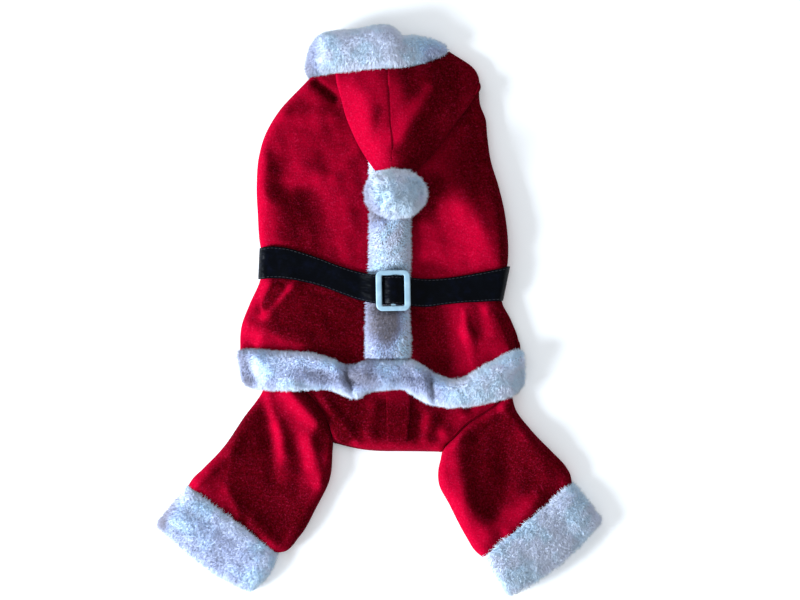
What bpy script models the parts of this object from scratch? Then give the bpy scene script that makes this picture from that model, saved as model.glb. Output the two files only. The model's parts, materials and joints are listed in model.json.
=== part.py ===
"""A small dog's Santa suit, lying flat on its belly: jacket with hood and skirt, and trousers for the hind legs.

The tables are in millimetres. +Y points to the head, +Z is the back of the suit, and -X is the wearer's left.
Every piece is placed in the suit's own frame, whose floor is z = 0.
"""

import math
from collections import namedtuple

import bmesh
import bpy
import numpy as np
from mathutils import Vector
from mathutils.bvhtree import BVHTree

MM = 0.001

# Cloth and fur
WALL = 2.0  # fleece with its nap
GAP = 0.3  # between pieces that meet
BELT_WALL = 2.0
FUR_WALL = 4.2  # backing and pile of a fur strip
ROLL = 8.0  # how far in a rolled side edge reaches
ROLL_ANGLES = (-45, -10, 25, 60, 90)  # degrees round a rolled edge, from beneath it to its top
UNDER_INSET = 1.5  # the lower walls end this far inside the outline
BED = WALL + GAP  # where the foot of a rolled edge meets the lower wall
LAP = 2 * WALL + 1.5 * GAP  # an upper wall that lies flat on the lower one

HIP_GAP = 0.45  # between the seat and a leg, whose rows don't share their points
HIP_CORNER_ROW = 2  # the row of the seat where the hip seams start
SEAM_PULL = (1.0, 0.7, 0.4, 0.15)  # how far the first rows of a leg follow the seam

# The placket and the buckle on it
PLACKET_LEFT = -9.0
PLACKET_RIGHT = 27.0
BUCKLE_X = 11.8
BUCKLE_Y = 17.2
BUCKLE_WIDE = 29.6
BUCKLE_TALL = 35.0
BUCKLE_BAR = 5.2
BUCKLE_THICK = 3.0
CENTRE_BAR = 4.0
CENTRE_BAR_THICK = 1.8
BUCKLE_CORNER = 4.5
BUCKLE_END = 4.4
BUCKLE_EDGE = 0.7
BUCKLE_TURN = 1.0
BAR_LIFT = 0.05

# The pompom, the hood's roll and the level sole of a cuff
POMPOM_X = 14.0
POMPOM_Y = 99.5
POMPOM_WIDE = 57.0
POMPOM_TALL = 45.0
POMPOM_HIGH = 38.0
POMPOM_PRESSED = 4.0
POMPOM_LUMP = 0.03
HOOD_ROLL = 6.0
HOOD_RIM = 7.0
CUFF_SOLE = 6.0

# Places across a strip: fur, with its round edges, and flat cloth
FUR_SHARES = (0, 0.05, 0.18, 0.38, 0.62, 0.82, 0.95, 1)
HOOD_SHARES = (0, 0.14, 0.28, 0.42, 0.56, 0.7, 0.84, 0.94, 1)
FLAT_SHARES = (0, 0.08, 0.2, 0.32, 0.44, 0.56, 0.68, 0.8, 0.92, 1)

# The armholes in the belly
ARMHOLE_WIDE = 44.0
ARMHOLE_TALL = 60.0
ARMHOLE_APART = 96.0
ARMHOLE_Y = 118.0

# A row across a panel: its two ends, how its middle bows towards the head, how it leans, and its heights
Row = namedtuple("Row", "left_x left_y right_x right_y bow lean foot rim middle")

BACK_ROWS = [
    Row(-58, 198, 85, 185, 2, 3, 9, 12.5, 12.5),
    Row(-68, 191, 88, 176, 2, 1, 5, 13.5, 13.5),
    Row(-85, 174, 90, 164, 1, 0, BED, 14, 14.5),
    Row(-97, 155, 92, 147, 0, 0, BED, 14.5, 15),
    Row(-104, 133, 96, 129, 0, 0, BED, 15, 15.5),
    Row(-106, 108, 103, 106, 0, 0, BED, 15, 15.5),
    Row(-105, 82, 109, 78, -5, 0, BED, 15, 15),
    Row(-104, 58, 111, 46, -13, 0, BED, 14, 14.5),
    Row(-104, 41, 109, 24, -14, 0, BED, 13.5, 14.5),
    Row(-106, 25, 107, 8, -12, 0, 1.5, 13, 15.5),
    Row(-112, 6, 111, -8, -11, 2, 0.4, 9, 17.5),
    Row(-118, -14, 118, -24, -11, 6, 0.4, 7, 18),
    Row(-120, -40, 123, -44, -17, 12, 0.4, 7, 17.5),
]

SEAT_ROWS = [
    Row(-99, 22, 103, 6, -12, 0, BED, 11, 12),
    Row(-98, -10, 106, -20, -6, 0, BED, 11, 12),
    Row(-98, -50, 113, -60, 0, 0, LAP, 11, 12),
    Row(-90, -54, 109, -71, 0, 0, 7, 11, 12),
    Row(-79, -57, 102, -80, 0, 0, 9.5, 11, 12),
    Row(-66, -67, 91, -88, 0, 0, 9.5, 11, 12),
    Row(-53, -81, 77, -97, 0, 0, 9.5, 11, 12.5),
    Row(-44, -97, 64, -110, 0, 0, 8.5, 11.5, 12.5),
    Row(-41, -108, 57, -116, -2, -1, 6, 11.5, 12.5),
    Row(-40.5, -112, 55, -120, -3, -1, LAP, 9, 9.5),
    Row(-40, -114, 54, -122, -3.5, -1, LAP, LAP, LAP + 0.5),
]

LEG_LEFT_ROWS = [
    Row(-99, -53, -40, -114, 12, 0, BED, 9.5, 9.5),
    Row(-100, -58, -40, -118, 10.5, 0, BED, 11.5, 11.5),
    Row(-102, -70, -40.5, -128, 9, 0, BED, 13, 12.5),
    Row(-117, -92, -43, -146, 5, 0, BED, 13.5, 12),
    Row(-134, -117, -54, -169, 2, 0, BED, 14, 11.5),
    Row(-153, -137, -69, -195, 0, 0, BED, 14, 11.5),
    Row(-162, -146, -82, -208, 0, 0, BED, 13, 11.5),
    Row(-165, -151, -89, -209, 0, 0, BED, 12, 11.5),
]

LEG_RIGHT_ROWS = [
    Row(54, -122, 114, -64, 0, 0, BED, 9.5, 9.5),
    Row(53, -126, 115, -69, 0, 0, BED, 11.5, 11.5),
    Row(50.5, -137, 118, -86, 0, 0, BED, 13.5, 12.5),
    Row(51, -149, 129, -101, 0, 0, BED, 14, 12),
    Row(60, -167, 148, -121, 0, 0, BED, 14, 11.5),
    Row(74, -194, 161, -135, 0, 0, BED, 14, 11.5),
    Row(83, -208, 165, -143, 0, 0, BED, 13, 11.5),
    Row(89, -213, 166, -149, 0, 0, BED, 12, 11.5),
]

# A row across one half of the hood, from its outer edge to the centre seam
HoodRow = namedtuple("HoodRow", "edge_x edge_y seam_x seam_y bow foot top")

HOOD_LEFT_ROWS = [
    HoodRow(-38, 204, 7.5, 206.5, 0, 10, 22),
    HoodRow(-37, 196, 7.5, 197, 0, 13.5, 27),
    HoodRow(-33, 182, 8, 182, 0, 15, 32),
    HoodRow(-29, 167, 9, 167, 0, 15, 35),
    HoodRow(-23, 152, 10, 152, 0, 15, 35.5),
    HoodRow(-16, 138, 11, 138, 0, 15.5, 34),
    HoodRow(-9, 127, 11.5, 127, 0, 16.5, 31),
    HoodRow(-4, 120, 12, 121, 0, 17.5, 28),
]

HOOD_RIGHT_ROWS = [
    HoodRow(60, 222, 7.5, 206.5, -5, 3, 22),
    HoodRow(82, 208, 7.5, 197, -2, 3, 27),
    HoodRow(86, 194, 8, 182, 0, 5, 32),
    HoodRow(77, 176, 9, 167, 0, 15, 35),
    HoodRow(65, 160, 10, 152, 0, 15, 35.5),
    HoodRow(53, 143, 11, 138, 0, 15.5, 34),
    HoodRow(41, 128, 11.5, 127, 0, 16.5, 31),
    HoodRow(33, 121, 12, 121, 0, 17.5, 28),
]

THROAT_ROWS = [
    Row(-46, 208.8, 76, 207, 0, 0, 0, 0, 0),
    Row(-52, 204, 82, 196, 1, 0, 0, 0, 0),
    Row(-57, 199.2, 84, 186.2, 2, 3, 0, 0, 0),
]

# A row across a fur strip, from its front or upper edge to its other edge, with its height and its bed
StripRow = namedtuple("StripRow", "near_x near_y far_x far_y thick bed")

BRIM_ROWS = [
    StripRow(-63.5, 207, -61, 200, 7, 0),
    StripRow(-61.5, 217, -57, 201, 9.5, 7),
    StripRow(-58, 228, -49, 202.5, 12, 11),
    StripRow(-50, 237.5, -40, 205.5, 13.5, 13.3),
    StripRow(-36, 240.5, -32, 205.8, 14, 13.3),
    StripRow(-19, 241.5, -17, 206.4, 14, 13.3),
    StripRow(0, 245.3, -1, 207.3, 14.5, 13.3),
    StripRow(11, 243.5, 12, 207.6, 14, 13.3),
    StripRow(19, 236, 23, 208.5, 11.5, 13),
    StripRow(28, 236, 34, 209.5, 9.5, 12),
    StripRow(40, 234.5, 43, 213.5, 8.5, 10.5),
    StripRow(51, 231, 51.5, 218.3, 7.5, 8.8),
    StripRow(59, 225.5, 58.5, 222.5, 6, 7.4),
]

BRIM_UNDER_ROWS = [
    StripRow(-61, 208, -56, 202, 6.5, 0),
    StripRow(-57, 224, -50, 207, 7, 0),
    StripRow(-47, 234, -42, 210.2, 7, 0),
    StripRow(-33, 237, -31, 210.2, 7, 0),
    StripRow(-2, 241, -2, 209.5, 7, 0),
    StripRow(19, 233, 21, 209, 7, 0),
    StripRow(40, 231, 42, 208.5, 7, 0),
    StripRow(57, 222, 58, 208, 6.5, 0),
]

HEM_ROWS = [
    StripRow(-119.5, -33, -116.5, -61, 6.5, 0.3),
    StripRow(-114, -31.5, -112, -66, 8.5, 0.3),
    StripRow(-98, -32, -98, -67.5, 10, 0.3),
    StripRow(-76, -33, -76, -68, 10, 0.3),
    StripRow(-56, -35, -55, -68, 10, 0.3),
    StripRow(-41, -40.5, -43, -68.5, 9.5, 0.3),
    StripRow(-31, -46.5, -32, -73, 8.5, 0.3),
    StripRow(-22, -47, -21, -76.5, 7.5, 0.3),
    StripRow(-11, -43.5, -10, -72.5, 9.5, 0.3),
    StripRow(8, -43, 9, -68.5, 10, 0.3),
    StripRow(27, -43, 22, -70, 9.5, 0.3),
    StripRow(38, -48.5, 33, -77.5, 8.5, 0.3),
    StripRow(48, -54.5, 45, -83, 7.5, 0.3),
    StripRow(59, -59.5, 60, -85, 9.5, 0.3),
    StripRow(72, -58, 77, -84.5, 10, 0.3),
    StripRow(87, -49.5, 93, -80.5, 10, 0.3),
    StripRow(103, -41, 108, -75, 9.5, 0.3),
    StripRow(116, -34.5, 119.5, -70, 8, 0.3),
    StripRow(122, -34, 124.5, -61, 6.5, 0.3),
]

# The hood's hidden layer, from its left edge to its right edge
HOOD_UNDER_ROWS = [
    StripRow(-27, 190, 73, 183, 1.9, 0),
    StripRow(-23, 173, 66, 170, 1.9, 0),
    StripRow(-15, 156, 54, 156, 1.9, 0),
    StripRow(-7, 140, 41, 141, 1.9, 0),
    StripRow(2, 127, 30, 128, 1.9, 0),
]

# The placket, from its left edge to its right edge: pressed flat beneath the hood and the belt
PLACKET_ROWS = [
    StripRow(PLACKET_LEFT, 184, PLACKET_RIGHT, 181, 2.6, 0),
    StripRow(PLACKET_LEFT, 150, PLACKET_RIGHT, 150, 2.6, 0),
    StripRow(PLACKET_LEFT, 129, PLACKET_RIGHT, 129, 3, 0),
    StripRow(PLACKET_LEFT, 117, PLACKET_RIGHT, 117, 5.5, 0),
    StripRow(PLACKET_LEFT, 72, PLACKET_RIGHT, 72, 7, 0),
    StripRow(PLACKET_LEFT - 0.5, 42, PLACKET_RIGHT, 41, 6.5, 0),
    StripRow(PLACKET_LEFT - 1, 34, PLACKET_RIGHT, 32, 2.6, 0),
    StripRow(PLACKET_LEFT - 3, 3, PLACKET_RIGHT - 1, 1, 2.6, 0),
    StripRow(PLACKET_LEFT - 3, -5, PLACKET_RIGHT - 1, -6, 6, 0),
    StripRow(PLACKET_LEFT - 3, -22, PLACKET_RIGHT, -22, 7, 0),
    StripRow(PLACKET_LEFT - 3, -41.5, PLACKET_RIGHT, -41.5, 6.5, 0),
]

SEAT_LAP_ROWS = [
    StripRow(5, -62, 28, -62, 2, 0),
    StripRow(6, -90, 28, -92, 2, 0),
    StripRow(6, -105, 26, -107, 2, 0),
    StripRow(6, -113, 26, -114, 2, 0),
]

# The belt, from its upper edge to its lower edge. At its ends it follows the sides down, at heights of their own
BeltRow = namedtuple("BeltRow", "upper_x upper_y lower_x lower_y height")

BELT_ROWS = [
    BeltRow(-106.3, 53.5, -107.6, 27, 4.5),
    BeltRow(-106.9, 53.8, -108.2, 27, 8.5),
    BeltRow(-105.6, 54, -106.8, 27, 12.5),
    BeltRow(-102, 54.3, -103, 27, 15.8),
    BeltRow(-97, 54.6, -96.5, 27.3, 0),
    BeltRow(-89, 55, -86, 27.5, 0),
    BeltRow(-80, 54, -76, 26.5, 0),
    BeltRow(-66, 50, -63, 24, 0),
    BeltRow(-50, 44.5, -48, 20, 0),
    BeltRow(-33, 38, -32, 14, 0),
    BeltRow(-17, 33.3, -17, 8.8, 0),
    BeltRow(-6, 31, -6, 6.4, 0),
    BeltRow(2.4, 30.2, 2.4, 5.6, 0),
    BeltRow(5, 29.8, 5, 5.6, 0),
    BeltRow(8.2, 29.6, 8.2, 5.4, 0),
    BeltRow(11.8, 30.2, 11.8, 5.8, 0),
    BeltRow(15.4, 29.6, 15.4, 5.2, 0),
    BeltRow(18.6, 29.6, 18.6, 5, 0),
    BeltRow(21.2, 29.6, 21.2, 5, 0),
    BeltRow(29, 29.2, 29, 4.6, 0),
    BeltRow(40, 28.5, 40, 4, 0),
    BeltRow(57, 29.5, 56, 5.5, 0),
    BeltRow(74, 32, 72, 7, 0),
    BeltRow(90, 35, 88, 7.5, 0),
    BeltRow(102, 37, 99, 7.8, 0),
    BeltRow(108.8, 38.5, 106, 8.3, 16),
    BeltRow(112.3, 39, 109.5, 8.6, 12.2),
    BeltRow(113.8, 39, 110.8, 8.8, 8),
    BeltRow(113.1, 39, 110, 8.8, 4.5),
]

CUFF_LEFT_ROWS = [
    Row(-165.5, -152.2, -89.5, -209.6, 0, 0, 1.4, 13, 13.5),
    Row(-171.5, -159, -90, -214, 0, 0, 1.4, 14, 14.5),
    Row(-178, -167, -92.5, -222, -1, 0, 1.4, 14.5, 15),
    Row(-184.5, -177, -99, -231, -3, 0, 1.4, 14, 14.5),
    Row(-189.8, -184, -107, -238, -5, 0, 1.4, 13, 13.5),
    Row(-188.8, -187.5, -110.5, -240.5, -6, 0, 1.8, 11.5, 12),
]

CUFF_RIGHT_ROWS = [
    Row(89.3, -213.5, 166.3, -149.3, 0, 0, 1.4, 13, 13.5),
    Row(92.5, -219, 171.5, -154.5, 0, 0, 1.4, 14, 14.5),
    Row(97.5, -227.5, 179, -163.5, -1, 0, 1.4, 14.5, 15),
    Row(103.5, -236.5, 185.5, -172.5, -3, 0, 1.4, 14, 14.5),
    Row(108.5, -243, 189.8, -179, -5.5, 0, 1.4, 13, 13.5),
    Row(113, -245.3, 188, -183.5, -7, 0, 1.8, 11.5, 12),
]

Fold = namedtuple("Fold", "from_x from_y to_x to_y width height")

BACK_FOLDS = [
    Fold(-96, 146, -97, 66, 8, 2.5),
    Fold(-88, 130, -84, 75, 7, -2.0),
    Fold(-62, 158, -44, 112, 20, 2.5),
    Fold(-74, 108, -45, 98, 9, 2.0),
    Fold(-66, 92, -58, 60, 12, -2.0),
    Fold(-75, 175, -52, 166, 12, 2.0),
    Fold(-53, 196, -36, 181, 4.5, -3.0),
    Fold(-43, 199, -36, 190, 5, 2.0),
    Fold(65, 99, 92, 52, 14, 4.5),
    Fold(43, 82, 44, 50, 8, 1.5),
    Fold(59, 73, 56, 48, 6, -1.0),
    Fold(88, 160, 90, 120, 8, 2.0),
    Fold(-75, 24, -101, -6, 5, 3.5),
    Fold(-88, 22, -100, 10, 4, -2.0),
    Fold(-118, -22, -65, -25, 7, 2.5),
    Fold(-45, 5, -40, -22, 16, -1.0),
    Fold(70, 0, 74, -50, 7, 3.5),
    Fold(94, 2, 96, -22, 6, 3.0),
    Fold(85, 4, 86, -14, 4.5, -2.0),
    Fold(42, -4, 52, -46, 11, -1.2),
]

SEAT_FOLDS = [
    Fold(-48, -76, -28, -100, 6, 2.5),
    Fold(-28, -100, -20, -112, 5, 2.0),
    Fold(-4, -84, -8, -104, 6, 1.5),
    Fold(42, -94, 36, -106, 8, 2.0),
    Fold(72, -90, 56, -104, 5, 1.5),
]

LEG_LEFT_FOLDS = [
    Fold(-97, -72, -88, -110, 5, 3.5),
    Fold(-88, -110, -84, -137, 5.5, 3.0),
    Fold(-90, -72, -62, -98, 6.5, 3.5),
    Fold(-89, -84, -76, -106, 5, -1.2),
    Fold(-108, -88, -98, -125, 8, -1.0),
    Fold(-68, -108, -57, -130, 7, 3.5),
    Fold(-57, -130, -58, -154, 7, 3.0),
    Fold(-118, -142, -90, -160, 20, -1.2),
    Fold(-148, -137, -156, -146, 7, 2.0),
    Fold(-130, -155, -120, -174, 5, 1.5),
    Fold(-108, -181, -92, -198, 6, 3.0),
]

LEG_RIGHT_FOLDS = [
    Fold(61, -132, 66, -165, 8, 4.0),
    Fold(66, -165, 86, -202, 8, 4.0),
    Fold(106, -84, 82, -98, 5, 3.0),
    Fold(82, -98, 66, -112, 5.5, 3.0),
    Fold(110, -96, 92, -133, 8, -1.8),
    Fold(92, -133, 85, -146, 9, -1.2),
    Fold(124, -108, 145, -140, 8, 2.5),
    Fold(102, -177, 130, -155, 7, 2.5),
    Fold(136, -166, 112, -194, 5, -1.5),
]

HOOD_FOLDS = [
    Fold(-1, 176, -2, 148, 6, -3.0),
    Fold(35, 186, 18, 150, 6, 2.0),
    Fold(26, 192, 20, 170, 5, -1.5),
]

CUFF_LEFT_FOLDS = [
    Fold(-150, -185, -128, -208, 14, -1.2),
]

CUFF_RIGHT_FOLDS = [
    Fold(148, -178, 170, -198, 8, -1.5),
    Fold(110, -222, 120, -232, 12, 0.8),
]

MATERIALS = {
    "fleece": ((0.55, 0.006, 0.035), 0.9, 0.0),
    "fur": ((0.86, 0.88, 0.93), 0.95, 0.0),
    "patent": ((0.012, 0.012, 0.014), 0.25, 0.0),
    "plastic": ((0.85, 0.87, 0.9), 0.35, 0.0),
}


def smooth_rows(table, count):
    """The table as an array with rows between its own, on smooth curves through each column."""
    table = np.array(table, float)
    middles = (table[:, 0:2] + table[:, 2:4]) / 2
    run = np.concatenate([[0], np.cumsum(np.linalg.norm(np.diff(middles, axis=0), axis=1))])
    spots = even_spots(run, count)
    slope = np.gradient(table, run, axis=0)
    cell = np.clip(np.searchsorted(run, spots, side="right") - 1, 0, len(run) - 2)
    length = (run[cell + 1] - run[cell])[:, None]
    t = (spots - run[cell])[:, None] / length
    return (
        (2 * t**3 - 3 * t**2 + 1) * table[cell]
        + (t**3 - 2 * t**2 + t) * length * slope[cell]
        + (3 * t**2 - 2 * t**3) * table[cell + 1]
        + (t**3 - t**2) * length * slope[cell + 1]
    )


def even_spots(run, count):
    """Places along the run: every row of the table, and the rest shared out by length between them."""
    steps = np.diff(run)
    shares = np.maximum(1, np.round(steps / run[-1] * (count - 1))).astype(int)
    spots = [np.linspace(run[k], run[k + 1], shares[k] + 1)[:-1] for k in range(len(steps))]
    return np.concatenate(spots + [[run[-1]]])


def relief(folds, x, y):
    """Height that the folds add at a point: ridges up, troughs down, round at their ends."""
    total = 0.0
    for fold in folds:
        along_x = fold.to_x - fold.from_x
        along_y = fold.to_y - fold.from_y
        length = math.hypot(along_x, along_y)
        share = ((x - fold.from_x) * along_x + (y - fold.from_y) * along_y) / length**2
        aside = ((x - fold.from_x) * along_y - (y - fold.from_y) * along_x) / length
        beyond = max(0.0, -share, share - 1) * length
        total += fold.height * math.exp(-(aside**2 + beyond**2) / fold.width**2)
    return total


def columns_across(inner):
    """Columns from left to right, as share of the width, inset and climb: both rolled sides, and the inner ones."""
    low = math.sin(math.radians(ROLL_ANGLES[0]))
    side = []
    for angle in ROLL_ANGLES:
        turn = math.radians(angle)
        side.append((ROLL * (1 - math.cos(turn)), (math.sin(turn) - low) / (1 - low)))
    columns = [(0.0, inset, climb) for inset, climb in side]
    for k in range(1, inner):
        columns.append((k / inner, ROLL * (1 - 2 * k / inner), 1.0))
    return columns + [(1.0, -inset, climb) for inset, climb in reversed(side)]


def place_on_row(row, share):
    """The point of a row at a share of its width, in plan."""
    left_x, left_y, right_x, right_y, bow, lean = row[:6]
    width = math.hypot(right_x - left_x, right_y - left_y)
    across_x, across_y = (right_x - left_x) / width, (right_y - left_y) / width
    offset = bow * 4 * share * (1 - share) + lean * math.sin(2 * math.pi * share)
    x = left_x + across_x * width * share - across_y * offset
    y = left_y + across_y * width * share + across_x * offset
    return x, y


def panel_grid(table, count, inner, folds):
    """Points of an upper wall's outer side, rolled down at both sides."""
    grid = []
    for row in smooth_rows(table, count):
        width = math.hypot(row[2] - row[0], row[3] - row[1])
        foot, rim, middle = row[6:9]
        line = []
        for share, inset, climb in columns_across(inner):
            x, y = place_on_row(row, share + inset / width)
            if climb < 1:
                height = foot + (rim - foot) * climb
            else:
                height = middle + (rim - middle) * abs(2 * share - 1) ** 3
            line.append((x, y, height + relief(folds, x, y) * climb**2))
        grid.append(line)
    return np.array(grid)


def flat_grid(table, count, columns, insets):
    """Points of a lower wall's upper side, level, each row inside the outline by its inset."""
    grid = []
    for row in smooth_rows(np.column_stack([table, insets]), count):
        width = math.hypot(row[2] - row[0], row[3] - row[1])
        inset = max(row[-1], 0) / width
        shares = np.linspace(inset, 1 - inset, columns)
        grid.append([(*place_on_row(row, share), WALL) for share in shares])
    return np.array(grid)


class Ground:
    """What lies beneath a piece: the highest point of the pieces named, at any place."""

    def __init__(self, *pieces):
        graph = bpy.context.evaluated_depsgraph_get()
        self.trees = [BVHTree.FromObject(piece, graph) for piece in pieces]

    def top(self, x, y):
        start = Vector((x * MM, y * MM, 1.0))
        hits = [tree.ray_cast(start, Vector((0, 0, -1)))[0] for tree in self.trees]
        return max([hit.z / MM for hit in hits if hit], default=0.0)

    def top_near(self, x, y, reach):
        """The highest point within a square of twice the reach."""
        offsets = (-reach, 0, reach)
        return max(self.top(x + dx, y + dy) for dx in offsets for dy in offsets)


def raise_over(grid, ground, clearance, reach):
    """The grid, lifted where it would come closer than the clearance to what lies beneath."""
    lifted = grid.copy()
    for point in lifted.reshape(-1, 3):
        point[2] = max(point[2], ground.top_near(point[0], point[1], reach) + clearance)
    return lifted


def material(name):
    found = bpy.data.materials.get(name)
    if found:
        return found
    colour, roughness, metallic = MATERIALS[name]
    made = bpy.data.materials.new(name)
    made.use_nodes = True
    shader = made.node_tree.nodes["Principled BSDF"]
    shader.inputs["Base Color"].default_value = (*colour, 1)
    shader.inputs["Roughness"].default_value = roughness
    shader.inputs["Metallic"].default_value = metallic
    return made


def add_object(name, points, faces, finish):
    mesh = bpy.data.meshes.new(name)
    mesh.from_pydata([Vector(point) * MM for point in points], [], faces)
    mesh.update()
    mesh.shade_smooth()
    made = bpy.data.objects.new(name, mesh)
    made.data.materials.append(material(finish))
    bpy.data.collections["dog_santa_suit"].objects.link(made)
    return made


def grid_faces(rows, columns, closed=False, start=0):
    """Quads between neighbouring points of a grid, joined round where it is closed."""
    faces = []
    for j in range(rows - 1):
        for i in range(columns if closed else columns - 1):
            k = (i + 1) % columns
            faces.append((start + j * columns + i, start + (j + 1) * columns + i,
                          start + (j + 1) * columns + k, start + j * columns + k))
    return faces


def shell(name, grid, wall, finish, closed=False):
    """A wall whose outer side is the grid. The rows run towards the tail and the columns to the right."""
    rows, columns = grid.shape[:2]
    made = add_object(name, grid.reshape(-1, 3), grid_faces(rows, columns, closed), finish)
    solidify = made.modifiers.new("wall", "SOLIDIFY")
    solidify.thickness = wall * MM
    solidify.offset = -1
    bpy.context.view_layer.update()
    return made


def facing_down(grid):
    """Whether faces of the grid, wound as grid_faces does, would look down."""
    down_rows = (grid[-1] - grid[0]).mean(axis=0)
    along_row = (grid[:, -1] - grid[:, 0]).mean(axis=0)
    return down_rows[0] * along_row[1] - down_rows[1] * along_row[0] < 0


def pad(name, upper, lower, finish):
    """A solid between an upper and a lower grid of the same size."""
    if facing_down(upper):
        upper, lower = upper.transpose(1, 0, 2), lower.transpose(1, 0, 2)
    rows, columns = upper.shape[:2]
    count = rows * columns
    faces = grid_faces(rows, columns)
    faces += [face[::-1] for face in grid_faces(rows, columns, start=count)]
    edge = [j * columns for j in range(rows)]
    edge += [(rows - 1) * columns + i for i in range(1, columns)]
    edge += [j * columns + columns - 1 for j in range(rows - 2, -1, -1)]
    edge += list(range(columns - 2, 0, -1))
    for here, there in zip(edge, edge[1:] + edge[:1]):
        faces.append((here, here + count, there + count, there))
    points = np.concatenate([upper.reshape(-1, 3), lower.reshape(-1, 3)])
    made = add_object(name, points, faces, finish)
    bpy.context.view_layer.update()
    return made


def strip_grids(table, count, shares, ground, reach, round_power=4):
    """Upper and lower grids of a fur strip that lies on the ground, thick in its middle and thin at its edges."""
    upper, lower = [], []
    for row in smooth_rows(table, count):
        near = row[0:2]
        far = row[2:4]
        for_top, for_bed = [], []
        for share in shares:
            x, y = near + (far - near) * share
            bed = max(row[5], ground.top_near(x, y, reach) + GAP if ground else 0.0)
            swell = (1 - abs(2 * share - 1) ** round_power) ** 0.5
            for_bed.append((x, y, bed))
            for_top.append((x, y, bed + 1.6 + (row[4] - 1.6) * swell))
        upper.append(for_top)
        lower.append(for_bed)
    return np.array(upper), np.array(lower)


def hip_seam(side):
    """Points of the seam between seat and leg, from the hip to the crotch, with the height of the cloth there."""
    rows = smooth_rows(SEAT_ROWS, 70)
    left = side == "left"
    points = rows[:, [0, 1, 6]] if left else rows[:, [2, 3, 6]]
    corner = SEAT_ROWS[HIP_CORNER_ROW]
    start = int(np.argmin(np.abs(points[:, 1] - (corner.left_y if left else corner.right_y))))
    seam = points[start:]
    return seam if left else seam[::-1]


def start_on_seam(grid, side, gap, inset=0.0, level=None):
    """The leg's grid with its first rows drawn up to the hip seam, less the gap, level or as high as the seat."""
    seam = hip_seam(side)
    run = np.concatenate([[0], np.cumsum(np.linalg.norm(np.diff(seam[:, :2], axis=0), axis=1))])
    first = grid[0, :, :2]
    spots = np.concatenate([[0], np.cumsum(np.linalg.norm(np.diff(first, axis=0), axis=1))])
    spots = inset + spots * (run[-1] - 2 * inset) / spots[-1]
    target = np.column_stack([np.interp(spots, run, seam[:, k]) for k in range(3)])
    away = grid[2, :, :2] - grid[0, :, :2]
    target[:, :2] += away / np.linalg.norm(away, axis=1)[:, None] * gap
    drawn = grid.copy()
    shift = target[:, :2] - first
    for j, weight in enumerate(SEAM_PULL):
        drawn[j, :, :2] += shift * weight
    drawn[0, :, 2] = target[:, 2] if level is None else level
    return drawn


def make_lower_walls():
    """The walls that the suit lies on: belly with its armholes, throat, and the fronts of the legs."""
    body = [row for row in BACK_ROWS if row.left_y > 30] + SEAT_ROWS[1:]
    insets = [UNDER_INSET if row.left_y > -52 else 0 for row in body]
    belly = shell("belly_panel", flat_grid(body, 22, 8, insets), WALL, "fleece")
    for side in (-1, 1):
        cut_armhole(belly, side)
    throat_insets = [UNDER_INSET] * len(THROAT_ROWS)
    throat = shell("throat_panel", flat_grid(THROAT_ROWS, 5, 7, throat_insets), WALL, "fleece")
    for side, table in (("left", LEG_LEFT_ROWS), ("right", LEG_RIGHT_ROWS)):
        grid = flat_grid(table, 11, 11, [3 * UNDER_INSET] * 2 + [UNDER_INSET] * (len(table) - 2))
        shell(f"leg_{side}_front", start_on_seam(grid, side, 3 * HIP_GAP, 3 * UNDER_INSET, WALL), WALL, "fleece")
    return belly, throat


def cut_armhole(belly, side):
    bpy.ops.mesh.primitive_cylinder_add(
        vertices=32, radius=0.5, depth=4 * WALL * MM,
        location=(side * ARMHOLE_APART / 2 * MM, ARMHOLE_Y * MM, WALL / 2 * MM),
    )
    cutter = bpy.context.object
    cutter.name = "armhole_left" if side < 0 else "armhole_right"
    cutter.scale = (ARMHOLE_WIDE * MM, ARMHOLE_TALL * MM, 1)
    cutter.hide_render = True
    cutter.display_type = "WIRE"
    for owner in list(cutter.users_collection):
        owner.objects.unlink(cutter)
    bpy.data.collections["cutters"].objects.link(cutter)
    hole = belly.modifiers.new(cutter.name, "BOOLEAN")
    hole.operation = "DIFFERENCE"
    hole.object = cutter


def make_legs():
    tables = (("left", LEG_LEFT_ROWS, LEG_LEFT_FOLDS), ("right", LEG_RIGHT_ROWS, LEG_RIGHT_FOLDS))
    return [
        shell(f"leg_{side}_back", start_on_seam(panel_grid(table, 16, 11, folds), side, HIP_GAP), WALL, "fleece")
        for side, table, folds in tables
    ]


def make_cuff(name, table, folds):
    """A fur ring: rolled sides and a level underside."""
    grid = []
    for row in smooth_rows(table, 8):
        width = math.hypot(row[2] - row[0], row[3] - row[1])
        foot, rim, middle = row[6:9]
        ring = []
        for share, inset, climb in columns_across(8):
            x, y = place_on_row(row, share + inset / width)
            height = foot + (rim - foot) * climb if climb < 1 else middle + (rim - middle) * abs(2 * share - 1) ** 3
            ring.append((x, y, height + relief(folds, x, y) * climb**2))
        for share in np.linspace(1 - CUFF_SOLE / width, CUFF_SOLE / width, 6):
            ring.append((*place_on_row(row, share), 0.0))
        grid.append(ring)
    return shell(name, np.array(grid), FUR_WALL, "fur", closed=True)


def make_strip(name, table, count, shares, ground, reach, finish="fur"):
    upper, lower = strip_grids(table, count, shares, ground, reach)
    return pad(name, upper, lower, finish)


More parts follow.
